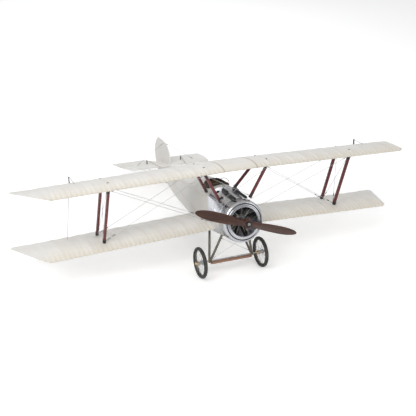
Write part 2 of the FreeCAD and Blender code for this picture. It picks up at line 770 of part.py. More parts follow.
def coaming_point(angle):
    """A point on the cockpit's edge, just above the decking."""
    y_middle = (cockpit_front_y + cockpit_rear_y) / 2
    reach_x = (cockpit_half_width + 0.6) * math.copysign(abs(math.cos(angle)) ** 0.6, math.cos(angle))
    reach_y = (cockpit_length / 2 + 0.6) * math.copysign(abs(math.sin(angle)) ** 0.6, math.sin(angle))
    y = y_middle + reach_y
    x = reach_x * (1 - 0.14 * (y - cockpit_front_y) / cockpit_length)
    return V(x, y, deck_height(x, y) + coaming_radius * 0.8)


coaming_ring = []
coaming_count = 28
for index in range(coaming_count):
    first = coaming_point(2 * math.pi * index / coaming_count)
    last = coaming_point(2 * math.pi * (index + 1) / coaming_count)
    coaming_ring.append(rod(first, last, coaming_radius))
    coaming_ring.append(Part.makeSphere(coaming_radius, first))
coaming = coaming_ring[0]
coaming = coaming.fuse(coaming_ring[1:])
nodes["cockpit_coaming"] = coaming.cut(nodes["fuselage_covering"])


# ---- cowling and engine -------------------------------------------------------------------------
def revolved(points):
    """A closed profile of (radius, y) pairs turned about the shaft's line."""
    wire = Part.makePolygon([V(r, y, 0) for r, y in points + [points[0]]])
    return Part.Face(wire).revolve(ORIGIN, Y_AXIS, 360)


def cowling_profile(inset):
    """Barrel, rounded shoulder, a rolled groove in the front face and a rolled inner lip."""
    profile = [(cowling_radius - inset, cowling_length - seat_gap)]
    shoulder = 26.0
    steps = 7
    for step in range(steps + 1):
        angle = math.pi / 2 * step / steps
        r = cowling_lip_radius + (cowling_radius - cowling_lip_radius - inset) * math.cos(angle)
        y = shoulder * (1 - math.sin(angle)) + inset
        profile.append((r, y))
    groove = cowling_lip_radius - 4.0
    profile.append((groove, 2.6 + inset))
    profile.append((groove - 5.0, 1.0 + inset))
    profile.append((cowling_opening_radius + 1.8, 0.4 + inset))
    profile.append((cowling_opening_radius + inset * 0.4, 4.5 + inset))
    return profile


nodes["cowling"] = revolved(cowling_profile(0.0) + cowling_profile(cowling_thickness)[::-1])

crankcase_front = engine_y - engine_depth / 2
crankcase = revolved([
    (shaft_radius + running_gap, crankcase_front - 6),
    (8.0, crankcase_front - 6),
    (10.0, crankcase_front - 1),
    (crankcase_radius - 4, crankcase_front),
    (crankcase_radius, crankcase_front + 4),
    (crankcase_radius, engine_y + engine_depth / 2),
    (shaft_radius + 4, engine_y + engine_depth / 2),
    (shaft_radius + 4, firewall_y - firewall_thickness - seat_gap),
    (shaft_radius + running_gap, firewall_y - firewall_thickness - seat_gap),
])
nodes["engine_crankcase"] = crankcase


def around_engine(shape, index):
    """A copy turned to one cylinder's place."""
    turned = shape.copy()
    turned.rotate(ORIGIN, Y_AXIS, 360.0 * index / cylinder_count)
    return turned


cylinder_foot = math.sqrt(crankcase_radius ** 2 - cylinder_radius ** 2) - 1.0
cylinder_profile = [V(0, engine_y, cylinder_foot), V(cylinder_radius, engine_y, cylinder_foot)]
fin_pitch = (cylinder_top_radius - crankcase_radius - first_fin_height - 3.0) / cylinder_fin_count
for fin in range(cylinder_fin_count):
    z = crankcase_radius + first_fin_height + fin * fin_pitch
    cylinder_profile += [
        V(cylinder_radius, engine_y, z),
        V(cylinder_fin_radius, engine_y, z),
        V(cylinder_fin_radius, engine_y, z + cylinder_fin_thickness),
        V(cylinder_radius, engine_y, z + cylinder_fin_thickness),
    ]
cylinder_profile += [
    V(cylinder_radius, engine_y, cylinder_top_radius - 2.0),
    V(cylinder_radius - 2.0, engine_y, cylinder_top_radius),
    V(0, engine_y, cylinder_top_radius),
]
wire = Part.makePolygon(cylinder_profile + [cylinder_profile[0]])
cylinder = Part.Face(wire).revolve(V(0, engine_y, 0), Z_AXIS, 360).cut(crankcase)
push_rod_foot = V(3.5, crankcase_front + 1.0, crankcase_radius - 6)
push_rod = rod(push_rod_foot, V(3.5, engine_y - 10.4, cylinder_top_radius), 0.9)
rocker = box(V(-2.5, engine_y - 11.6, cylinder_top_radius + seat_gap),
             V(5.5, engine_y + 3, cylinder_top_radius + 3.0))
intake = rod(V(0, engine_y + 11.5, crankcase_radius + 2), V(0, engine_y + 11.5, cylinder_top_radius), 2.2)
nodes["engine_cylinders"] = group([around_engine(cylinder, i) for i in range(cylinder_count)])
pipe_pieces = []
for index in range(cylinder_count):
    for shape in (push_rod.cut(crankcase), rocker, intake):
        pipe_pieces.append(around_engine(shape, index))
nodes["engine_pipes"] = group(pipe_pieces)

# ---- propeller ----------------------------------------------------------------------------------
def blade_station(share):
    """A blade's section at a share of the radius: oval, twisted, narrow at root and tip."""
    radius = propeller_radius * share
    rise = min(share / 0.42, 1.0)
    width = blade_chord * (0.62 + 0.38 * math.sin(math.pi / 2 * rise))
    if share > 0.6:
        width *= math.sqrt(max(1 - ((share - 0.6) / 0.412) ** 2, 0.0))
    thick = 13.0 * (1 - share) + 3.0
    pitch = math.radians(60.0 - 24.0 * math.sqrt(share))
    centre = V(radius, propeller_y, 0)
    chordwise = V(0, -math.sin(pitch), math.cos(pitch))
    across = V(0, math.cos(pitch), math.sin(pitch))
    width = max(width, thick + 0.5)
    points = []
    for step in range(12):
        angle = 2 * math.pi * step / 12
        along_chord = chordwise * (width / 2 * math.cos(angle))
        points.append(centre + along_chord + across * (thick / 2 * math.sin(angle)))
    curve = Part.BSplineCurve()
    curve.interpolate(points, True)
    return Part.Wire(curve.toShape())


blade_shares = (0.06, 0.18, 0.32, 0.46, 0.6, 0.74, 0.86, 0.94, 0.985, 1.0)
blade = Part.makeLoft([blade_station(share) for share in blade_shares], True)
other_blade = blade.copy()
other_blade.rotate(ORIGIN, Y_AXIS, 180)
boss = Part.makeCylinder(hub_radius, 2 * hub_half_length, V(0, propeller_y - hub_half_length, 0), Y_AXIS)
boss = boss.makeFillet(2.5, boss.Edges)
shaft_bore = Part.makeCylinder(shaft_radius + seat_gap, 80, V(0, propeller_y - 40, 0), Y_AXIS)
propeller = boss.fuse([blade, other_blade]).cut(shaft_bore)
hub_front = propeller_y - hub_half_length
hub_plate = ring(V(0, hub_front - hub_plate_thickness / 2 - seat_gap, 0), Y_AXIS, hub_plate_radius,
                 shaft_radius + seat_gap, hub_plate_thickness)
plate_front = hub_front - hub_plate_thickness - seat_gap
hub_pieces = [hub_plate]
for bolt in range(6):
    angle = math.radians(60.0 * bolt + 30.0)
    spot = V(7.8 * math.cos(angle), plate_front - seat_gap, 7.8 * math.sin(angle))
    hub_pieces.append(Part.makeCylinder(1.2, 1.4, spot, V(0, -1, 0)))
nut = Part.makeCylinder(nut_radius, nut_length, V(0, plate_front - seat_gap, 0), V(0, -1, 0))
nut = nut.makeFillet(1.6, [nut.Edges[2]])
nut = nut.cut(Part.makeCylinder(shaft_radius + seat_gap - 1.0, 4.2, V(0, plate_front, 0), V(0, -1, 0)))
hub_pieces.append(nut)
shaft = Part.makeCylinder(shaft_radius, engine_y + 20 - plate_front, V(0, plate_front, 0), Y_AXIS)
shaft = shaft.fuse(Part.makeCylinder(shaft_radius - 1.0, 4.0, V(0, plate_front, 0), V(0, -1, 0)))
propeller_parts = (("propeller", propeller), ("propeller_hub", group(hub_pieces)), ("propeller_shaft", shaft))
for name, shape in propeller_parts:
    shape.rotate(ORIGIN, Y_AXIS, propeller_turn)
    nodes[name] = shape

# ---- wheels -------------------------------------------------------------------------------------
wheel_centre = V(wheel_x, axle_y, axle_z)
tyre_ring_radius = wheel_radius - tyre_tube_radius
rim_outer = tyre_ring_radius - tyre_tube_radius * 0.55
tyre = Part.makeTorus(tyre_ring_radius, tyre_tube_radius, wheel_centre, X_AXIS)
tyre = tyre.cut(Part.makeCylinder(rim_outer + seat_gap, 40, wheel_centre - X_AXIS * 20, X_AXIS))
rim = ring(wheel_centre, X_AXIS, rim_outer, rim_outer - rim_depth, rim_width)
wheel_hub = ring(wheel_centre, X_AXIS, wheel_hub_radius, axle_radius + running_gap, wheel_hub_length)
flange_offset = wheel_hub_length / 2 - 3.0
for side in (1, -1):
    flange_centre = wheel_centre + X_AXIS * (side * flange_offset)
    flange = ring(flange_centre, X_AXIS, wheel_flange_radius, wheel_hub_radius - 0.5, wheel_flange_thickness)
    wheel_hub = wheel_hub.fuse(flange)
spokes = []
for index in range(spoke_count):
    side = 1 if index % 2 else -1
    rim_angle = 2 * math.pi * index / spoke_count
    lean = math.radians(38.0) * (1 if index % 4 < 2 else -1)
    foot_angle = rim_angle + lean
    foot = V(side * flange_offset, (wheel_flange_radius - 0.6) * math.cos(foot_angle),
             (wheel_flange_radius - 0.6) * math.sin(foot_angle))
    end = V(side * 1.2, (rim_outer - rim_depth - seat_gap) * math.cos(rim_angle),
            (rim_outer - rim_depth - seat_gap) * math.sin(rim_angle))
    spokes.append(rod(wheel_centre + foot, wheel_centre + end, spoke_radius))
wheel_parts = (("tyre", tyre), ("wheel_rim", rim), ("wheel_hub_and_spokes", wheel_hub.fuse(spokes)))
for name, shape in wheel_parts:
    nodes[name + "_port"] = shape
    nodes[name + "_starboard"] = mirrored(shape)

# ---- axle, fairing, legs ------------------------------------------------------------------------
axle_end = wheel_x + wheel_hub_length / 2 + collar_length + 3.0
axle = Part.makeCylinder(axle_radius, 2 * axle_end, V(-axle_end, axle_y, axle_z), X_AXIS)
nodes["axle"] = axle
fairing_reach = leg_foot_x - binding_length / 2 - 1.0
fairing_start = V(-fairing_reach, axle_y, axle_z - fairing_drop)
fairing_end = fairing_start + X_AXIS * (2 * fairing_reach)
fairing = bar(fairing_start, fairing_end, fairing_chord, fairing_thickness, Y_AXIS)
axle_room = Part.makeCylinder(axle_radius + seat_gap, 400, V(-200, axle_y, axle_z), X_AXIS)
nodes["axle_fairing"] = fairing.cut(axle_room)
binding = ring(V(leg_foot_x, axle_y, axle_z), X_AXIS, binding_radius, axle_radius + seat_gap, binding_length)
binding_room = Part.makeCylinder(binding_radius + seat_gap, binding_length,
                                 V(leg_foot_x - binding_length / 2, axle_y, axle_z), X_AXIS)
collar = ring(V(wheel_x + wheel_hub_length / 2 + moving_gap + collar_length / 2, axle_y, axle_z), X_AXIS,
              collar_radius, axle_radius + seat_gap, collar_length)
inner_collar_x = wheel_x - wheel_hub_length / 2 - moving_gap - collar_length / 2
inner_collar = ring(V(inner_collar_x, axle_y, axle_z), X_AXIS, collar_radius, axle_radius + seat_gap, collar_length)
nodes["axle_bindings"] = both_sides([binding, collar, inner_collar])
leg_pieces = []
leg_ends = {}
leg_plans = (("front", V(*leg_front_top), -leg_foot_spread), ("rear", V(*leg_rear_top), leg_foot_spread))
for name, top, spread in leg_plans:
    foot = V(leg_foot_x, axle_y + spread, axle_z)
    leg_ends[name] = (foot, top)
    leg_pieces.append(bar(foot, top, leg_depth, leg_width, Y_AXIS))
leg_neighbours = [binding_room, nodes["side_panels"], nodes["fuselage_covering"]]
nodes["undercarriage_legs"] = both_sides([leg.cut(leg_neighbours) for leg in leg_pieces])

# ---- tail ---------------------------------------------------------------------------------------
tail_low = tail_z - tail_thickness / 2
nose_radius = tail_thickness / 2
tailplane_rear = elevator_hinge_y - nose_radius - moving_gap
tailplane_corners = [
    V(-tailplane_front_half_span, tailplane_front_y, tail_low),
    V(tailplane_front_half_span, tailplane_front_y, tail_low),
    V(tailplane_half_span, tailplane_rear, tail_low),
    V(-tailplane_half_span, tailplane_rear, tail_low),
]
tailplane = plate(tailplane_corners, [9.0, 9.0, 0, 0], V(0, 0, tail_thickness))
nodes["tailplane"] = tailplane.cut(elevator_tube_cut)


def elevator_half():
    """The port elevator, thinning towards its trailing edge, notched for the rudder."""
    inner = elevator_notch_start
    depth = elevator_rear_y - elevator_hinge_y
    corners = [
        V(inner, elevator_hinge_y, tail_low),
        V(tailplane_half_span + 1.0, elevator_hinge_y, tail_low),
        V(elevator_half_span, elevator_rear_y, tail_low),
        V(inner + elevator_notch_slope * depth, elevator_rear_y, tail_low),
    ]
    body = plate(corners, [0, 0, 6.0, 14.0], V(0, 0, tail_thickness))
    wedge = prism([
        V(0, elevator_hinge_y - 10, tail_z - nose_radius), V(0, elevator_hinge_y - 10, tail_z + nose_radius),
        V(0, elevator_hinge_y, tail_z + nose_radius), V(0, elevator_rear_y + 1, tail_z + 0.9),
        V(0, elevator_rear_y + 1, tail_z - 0.9), V(0, elevator_hinge_y, tail_z - nose_radius),
    ], V(300, 0, 0))
    nose_start = V(inner, elevator_hinge_y, tail_z)
    nose = Part.makeCylinder(nose_radius, tailplane_half_span + 1.0 - inner, nose_start, X_AXIS)
    return body.common(wedge).fuse(nose)


port_elevator = elevator_half()
torque_tube = Part.makeCylinder(torque_tube_radius, 2 * elevator_notch_start + 4,
                                V(-elevator_notch_start - 2, elevator_hinge_y, tail_z), X_AXIS)
nodes["elevators"] = port_elevator.fuse([mirrored(port_elevator), torque_tube])
elevator_horn = prism([
    V(elevator_horn_x, elevator_hinge_y + 1, tail_z - horn_height),
    V(elevator_horn_x, elevator_hinge_y + 4, tail_z - horn_height),
    V(elevator_horn_x, elevator_hinge_y + 9, tail_z),
    V(elevator_horn_x, elevator_hinge_y + 4, tail_z + horn_height),
    V(elevator_horn_x, elevator_hinge_y + 1, tail_z + horn_height),
    V(elevator_horn_x, elevator_hinge_y - 1, tail_z),
], V(horn_thickness, 0, 0)).cut(port_elevator)
nodes["elevator_horns"] = both_sides(elevator_horn.Solids)

fin_half = fin_thickness / 2
fin_rear = rudder_hinge_y - fin_half - moving_gap
fin_corners = [
    V(-fin_half, 724, fin_bottom_z),
    V(-fin_half, 714, 136),
    V(-fin_half, 750, 179),
    V(-fin_half, fin_rear, 193),
    V(-fin_half, fin_rear, fin_bottom_z + 3.0),
    V(-fin_half, elevator_hinge_y - 8, fin_bottom_z),
]
nodes["fin"] = plate(fin_corners, [0, 40.0, 44.0, 0, 0, 0], V(fin_thickness, 0, 0))
sternpost = box(V(-3.5, stern_y + seat_gap, 24.0), V(3.5, fin_rear, tail_z - torque_tube_radius - moving_gap))
rudder_corners = [
    V(-fin_half, rudder_hinge_y, rudder_bottom_z),
    V(-fin_half, rudder_rear_y - 34, rudder_bottom_z + 2),
    V(-fin_half, rudder_rear_y, 100),
    V(-fin_half, rudder_rear_y - 6, rudder_top_z - 40),
    V(-fin_half, rudder_hinge_y + 52, rudder_top_z + 3),
    V(-fin_half, rudder_hinge_y, rudder_top_z - 4),
]
rudder_body = plate(rudder_corners, [0, 36.0, 56.0, 40.0, 34.0, 0], V(fin_thickness, 0, 0))
rudder_wedge = prism([
    V(-fin_half, rudder_hinge_y, 0), V(fin_half, rudder_hinge_y, 0),
    V(0.9, rudder_rear_y + 1, 0), V(-0.9, rudder_rear_y + 1, 0),
], V(0, 0, 300))
rudder_foot = V(0, rudder_hinge_y, rudder_bottom_z)
rudder_nose = Part.makeCylinder(fin_half, rudder_top_z - 4 - rudder_bottom_z, rudder_foot, Z_AXIS)
nodes["rudder"] = rudder_body.common(rudder_wedge).fuse(rudder_nose)
rudder_horn_z = 52.0
rudder_horn = prism([
    V(-13, rudder_hinge_y + 1, rudder_horn_z), V(13, rudder_hinge_y + 1, rudder_horn_z),
    V(13, rudder_hinge_y + 4, rudder_horn_z), V(4, rudder_hinge_y + 9, rudder_horn_z),
    V(-4, rudder_hinge_y + 9, rudder_horn_z), V(-13, rudder_hinge_y + 4, rudder_horn_z),
], V(0, 0, 1.6)).cut(nodes["rudder"])
nodes["rudder_horns"] = group(rudder_horn.Solids)

# Tail skid: an ash lever hung under the stern, its steel shoe flat on the ground.
angle = math.radians(ground_angle)


def ground_z(y):
    """Height, in the aircraft's axes, of the ground plane under a place."""
    depth = -axle_y * math.sin(angle) + axle_z * math.cos(angle) - wheel_radius
    return (depth + y * math.sin(angle)) / math.cos(angle)


skid_points = [
    V(-skid_x_half, 738.0, station_at(738.0)[5] - seat_gap),
    V(-skid_x_half, 768.0, station_at(768.0)[5] - seat_gap),
    V(-skid_x_half, skid_tip_y - 16, ground_z(skid_tip_y - 16) + 13),
    V(-skid_x_half, skid_tip_y + 8, ground_z(skid_tip_y + 8) + 6),
    V(-skid_x_half, skid_tip_y + 8, ground_z(skid_tip_y + 8)),
    V(-skid_x_half, skid_tip_y - 14, ground_z(skid_tip_y - 14)),
    V(-skid_x_half, skid_tip_y - 30, ground_z(skid_tip_y - 30) + 8),
]
skid = prism(skid_points, V(2 * skid_x_half, 0, 0)).cut(nodes["fuselage_covering"])
nodes["tail_skid"] = group([skid, sternpost])

# ---- wires --------------------------------------------------------------------------------------
wires = []
turnbuckles = []


def add_wire(start, end, with_turnbuckle=True):
    """A taut wire, with a turnbuckle near its first end."""
    wires.append(rod(start, end, wire_radius))
    if with_turnbuckle:
        along = (end - start).normalize()
        first = start + along * turnbuckle_distance
        sleeve = rod(first, first + along * turnbuckle_length, turnbuckle_radius)
        turnbuckles.append(sleeve.cut(rod(start, end, wire_radius + running_gap)))


root_fix_x = lower_root_x + 4.0
for end, place in (("front", front_spar_place), ("rear", rear_spar_place)):
    strut_foot, strut_top = wire_ends["interplane_" + end]
    cabane_top = wire_ends["cabane_" + end][1]
    inward = V(-(strut_width / 2 + wire_stand_off), 0, 0)
    root = wing_point(root_fix_x, place, False, 1, 1.0)
    add_wire(strut_foot + inward, cabane_top + V(strut_width / 2 + wire_stand_off, 0, 0))
    shift = V(0, 2 * wire_stand_off, 0)
    add_wire(root + shift, strut_top + inward + shift)
front_foot, front_top = wire_ends["interplane_front"]
rear_foot, rear_top = wire_ends["interplane_rear"]
aft = V(0, strut_depth / 2 + wire_stand_off, 0)
add_wire(front_foot + aft, rear_top - aft)
add_wire(rear_foot - aft, front_top + aft + V(incidence_wire_offset, 0, 0))
side_wires = list(wires)
side_turnbuckles = list(turnbuckles)
wires = []
turnbuckles = []
cabane_foot_front, cabane_top_front = wire_ends["cabane_front"]
ahead = V(0, -(cabane_depth / 2 + wire_stand_off), 0)
across_foot = V(-cabane_foot_front.x, cabane_foot_front.y, cabane_foot_front.z)
add_wire(across_foot + ahead, cabane_top_front + ahead, False)
across_top = V(-cabane_top_front.x, cabane_top_front.y, cabane_top_front.z)
add_wire(cabane_foot_front - ahead, across_top - ahead, False)
side_wires = [wire.cut([fittings, nodes["interplane_struts"]]) for wire in side_wires]
wires = [wire.cut(fittings) for wire in wires]
nodes["wing_bracing_wires"] = group([both_sides(side_wires)] + wires)
nodes["wire_turnbuckles"] = both_sides(side_turnbuckles)

wires = []
front_leg_foot, front_leg_top = leg_ends["front"]
offset = V(0, -(leg_depth / 2 + wire_stand_off), 0)
upper_share = front_leg_foot + (front_leg_top - front_leg_foot) * 0.86
lower_share = front_leg_foot + (front_leg_top - front_leg_foot) * 0.10
for side in (1, -1):
    shift = offset * side
    high = V(side * upper_share.x, upper_share.y, upper_share.z)
    low = V(-side * lower_share.x, lower_share.y, lower_share.z)
    wires.append(rod(high + shift, low + shift, wire_radius))
nodes["undercarriage_wires"] = group(wires)

wires = []
tail_anchor = V(128.0, 780.0, tail_z + tail_thickness / 2 + 0.6)
fin_anchor = V(fin_half + 0.6, 782.0, 180.0)
wires.append(rod(fin_anchor, tail_anchor, wire_radius))
low_anchor = V(128.0, 780.0, tail_z - tail_thickness / 2 - 0.6)
stern_anchor = V(8.0, 770.0, 24.0)
wires.append(rod(stern_anchor, low_anchor, wire_radius))
nodes["tail_bracing_wires"] = both_sides(wires)

wires = []
exit_y = 560.0
exit_station = station_at(exit_y)
for side in (1, -1):
    horn_end_z = tail_z + side * (horn_height - 2)
    horn_end = V(elevator_horn_x + horn_thickness / 2, elevator_hinge_y - 0.4, horn_end_z)
    exit_point = V(exit_station[3] + 1.0, exit_y, 66.0 + side * elevator_wire_spread)
    wires.append(rod(exit_point, horn_end, control_wire_radius))
rudder_end = V(12.0, rudder_hinge_y - 0.4, rudder_horn_z + 0.8)
rudder_station = station_at(620.0)
wires.append(rod(V(rudder_station[1] + 2.0, 620.0, 46.0), rudder_end, control_wire_radius))
nodes["tail_control_wires"] = both_sides(wires)

# ---- onto the ground and out ---------------------------------------------------------------------
for shape in nodes.values():
    shape.rotate(ORIGIN, X_AXIS, -ground_angle)
whole = FreeCAD.BoundBox()
for shape in nodes.values():
    whole.add(shape.optimalBoundingBox(False, False))
to_origin = V(0, -(whole.YMin + whole.YMax) / 2, -whole.ZMin)
os.makedirs("parts", exist_ok=True)
for name, shape in nodes.items():
    shape.translate(to_origin)
    shape.exportStep("parts/" + name + ".step")
print("nodes", len(nodes))
print("shift to the origin", [round(v, 4) for v in to_origin])
print("size", [round(v, 2) for v in (whole.XLength, whole.YLength, whole.ZLength)])
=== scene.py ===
"""The looks of the biplane scale model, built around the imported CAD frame.

Every piece is made in the aircraft's own axes: X to port, Y aft from the cowling's front face,
Z up from the propeller shaft's line.  AIRCRAFT carries them onto the ground, nose up.
"""

import bpy
import math
from mathutils import Matrix, Vector
from mathutils.bvhtree import BVHTree
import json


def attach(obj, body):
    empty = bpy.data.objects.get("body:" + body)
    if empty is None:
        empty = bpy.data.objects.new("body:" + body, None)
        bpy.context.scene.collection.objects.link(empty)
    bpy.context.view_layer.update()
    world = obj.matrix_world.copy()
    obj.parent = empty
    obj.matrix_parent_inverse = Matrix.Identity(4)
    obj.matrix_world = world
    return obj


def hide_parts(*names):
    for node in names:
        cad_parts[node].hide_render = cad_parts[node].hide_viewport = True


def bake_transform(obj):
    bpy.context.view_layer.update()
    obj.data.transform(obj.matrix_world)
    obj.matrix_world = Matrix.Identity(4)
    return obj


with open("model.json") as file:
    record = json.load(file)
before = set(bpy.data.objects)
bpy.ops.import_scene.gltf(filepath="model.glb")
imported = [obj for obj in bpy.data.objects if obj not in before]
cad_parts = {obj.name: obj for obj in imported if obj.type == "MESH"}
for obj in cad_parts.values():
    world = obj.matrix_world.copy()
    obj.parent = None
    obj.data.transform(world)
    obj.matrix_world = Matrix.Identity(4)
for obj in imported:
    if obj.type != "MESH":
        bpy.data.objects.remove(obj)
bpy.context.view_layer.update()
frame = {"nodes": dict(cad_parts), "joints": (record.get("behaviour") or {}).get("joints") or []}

MM = 0.001

# ---- the aircraft's axes ------------------------------------------------------------------------
propeller_joint = next(joint for joint in frame["joints"] if joint["name"] == "propeller_spin")
forward = Vector(propeller_joint["axis"])
if forward.y > 0:
    forward = -forward
PROPELLER_Y = -23.0 * MM
GROUND_ANGLE = math.atan2(forward.z, -forward.y)
TILT = Matrix.Rotation(-GROUND_ANGLE, 4, "X")
AIRCRAFT = Matrix.Translation(Vector(propeller_joint["pos_m"]) - TILT @ Vector((0, PROPELLER_Y, 0))) @ TILT
TO_AIRCRAFT = AIRCRAFT.inverted()


def craft_points(node):
    """A CAD node's vertices in the aircraft's axes."""
    return [TO_AIRCRAFT @ vertex.co for vertex in frame["nodes"][node].data.vertices]


def craft_tree(*names):
    """CAD nodes as one search tree in the aircraft's axes."""
    points = []
    faces = []
    for name in names:
        start = len(points)
        points.extend(craft_points(name))
        faces.extend([start + i for i in polygon.vertices] for polygon in frame["nodes"][name].data.polygons)
    return BVHTree.FromPolygons(points, faces)


# ---- wing sizes that the fabric's material also needs -------------------------------------------
CHORD = 241.0 * MM
ROOT_X = 62.0 * MM
RIB_PITCH = 49.167 * MM
FIRST_RIB = 63.9 * MM
SPAR_PLACES = (0.18, 0.56)

# ---- materials ----------------------------------------------------------------------------------
class Paint:
    """A node material with short calls for the nodes that it needs."""

    def __init__(self, name, roughness=0.5, metallic=0.0, **sockets):
        self.material = bpy.data.materials.new(name)
        self.material.use_nodes = True
        self.tree = self.material.node_tree
        self.tree.nodes.clear()
        self.shader = self.tree.nodes.new("ShaderNodeBsdfPrincipled")
        output = self.tree.nodes.new("ShaderNodeOutputMaterial")
        self.tree.links.new(self.shader.outputs[0], output.inputs["Surface"])
        self.shader.inputs["Roughness"].default_value = roughness
        self.shader.inputs["Metallic"].default_value = metallic
        for socket, value in sockets.items():
            self.shader.inputs[socket.replace("_", " ")].default_value = value
        self.place = self.node("ShaderNodeTexCoord").outputs["Object"]
        split = self.node("ShaderNodeSeparateXYZ", Vector=self.place)
        self.x, self.y, self.z = split.outputs

    def node(self, kind, **inputs):
        made = self.tree.nodes.new(kind)
        for key, value in inputs.items():
            self.put(made.inputs[key.replace("_", " ")], value)
        return made

    def put(self, socket, value):
        if isinstance(value, bpy.types.NodeSocket):
            self.tree.links.new(value, socket)
        else:
            socket.default_value = value

    def math(self, operation, first, second=0.0, third=0.0):
        made = self.tree.nodes.new("ShaderNodeMath")
        made.operation = operation
        for socket, value in zip(made.inputs, (first, second, third)):
            self.put(socket, value)
        return made.outputs[0]

    def stretched(self, x, y, z):
        """The object's coordinates scaled apart along the axes."""
        return self.node("ShaderNodeMapping", Vector=self.place, Scale=(x, y, z)).outputs[0]

    def noise(self, scale, detail=3.0, where=None, roughness=0.5):
        made = self.node("ShaderNodeTexNoise", Vector=where or self.place, Scale=scale, Detail=detail,
                         Roughness=roughness)
        return made.outputs["Fac"]

    def ramp(self, factor, *stops):
        """Colours or grey levels at places along a factor."""
        made = self.node("ShaderNodeValToRGB", Fac=factor)
        elements = made.color_ramp.elements
        while len(elements) < len(stops):
            elements.new(0.5)
        for element, (place, colour) in zip(elements, stops):
            element.position = place
            element.color = (*colour, 1.0) if isinstance(colour, tuple) else (colour, colour, colour, 1.0)
        return made.outputs["Color"]

    def mix(self, factor, first, second, blend="MIX"):
        made = self.tree.nodes.new("ShaderNodeMix")
        made.data_type = "RGBA"
        made.blend_type = blend
        for key, value in (("Factor_Float", factor), ("A_Color", first), ("B_Color", second)):
            socket = next(s for s in made.inputs if s.identifier == key)
            self.put(socket, (*value, 1.0) if isinstance(value, tuple) else value)
        return next(s for s in made.outputs if s.identifier == "Result_Color")

    def over(self, under, colour, factor, *stops):
        """A colour laid over another where the ramp of a factor says so."""
        return self.mix(self.ramp(factor, *stops), under, colour)

    def bump(self, height, distance, strength=1.0, normal=None):
        made = self.node("ShaderNodeBump", Height=height, Distance=distance, Strength=strength)
        if normal is not None:
            self.put(made.inputs["Normal"], normal)
        return made.outputs["Normal"]

    def finish(self, colour, roughness=None, normal=None):
        self.put(self.shader.inputs["Base Color"], colour)
        if roughness is not None:
            self.put(self.shader.inputs["Roughness"], roughness)
        if normal is not None:
            self.put(self.shader.inputs["Normal"], normal)
        return self.material

    def stripes(self, value, pitch, offset, width):
        """1 on evenly spaced lines of a width, 0 between them."""
        shifted = self.math("ADD", value, pitch / 2 - offset)
        beside = self.math("ABSOLUTE", self.math("SUBTRACT", self.math("MODULO", shifted, pitch), pitch / 2))
        return self.math("SUBTRACT", 1.0, self.math("SMOOTH_MIN", self.math("DIVIDE", beside, width), 1.0, 0.2))

    def weave(self, pitch, first=None, second=None):
        """Crossed threads."""
        turns = 2 * math.pi / pitch
        warp = self.math("SINE", self.math("MULTIPLY", first or self.x, turns))
        weft = self.math("SINE", self.math("MULTIPLY", second or self.y, turns))
        return self.math("MULTIPLY", warp, weft)


CREAM = (0.800, 0.780, 0.740)
PALE_CREAM = (0.850, 0.840, 0.815)
WARM_CREAM = (0.700, 0.630, 0.500)
# Painted shade: the riblet, rib and spar tones below darken the wing's fabric where those parts would show
# their shadows through it.
RIBLET_SHADE_BROWN = (0.50, 0.42, 0.29)
RIB_SHADOW_TONE = (0.60, 0.55, 0.46)
SPAR_SHADOW_TONE = (0.60, 0.53, 0.42)
STRINGER_SHADE = (0.58, 0.52, 0.42)
JOINT_BROWN = (0.36, 0.25, 0.16)
THREAD = 0.9 * MM
FABRIC_GLOSS = {"Sheen_Weight": 0.12, "Coat_Weight": 0.12, "Coat_Roughness": 0.35}


def clouded_linen(paint, cloud_scale, streak_scale, streak_stretch, streak_ramp):
    """Cream linen with pale clouds and warm streaks."""
    clouds = paint.noise(cloud_scale, 4.0)
    base = paint.over(CREAM, PALE_CREAM, clouds, (0.35, 0.0), (0.70, 1.0))
    streaks = paint.noise(streak_scale, 5.0, paint.stretched(*streak_stretch), 0.6)
    return paint.over(base, WARM_CREAM, streaks, *streak_ramp)


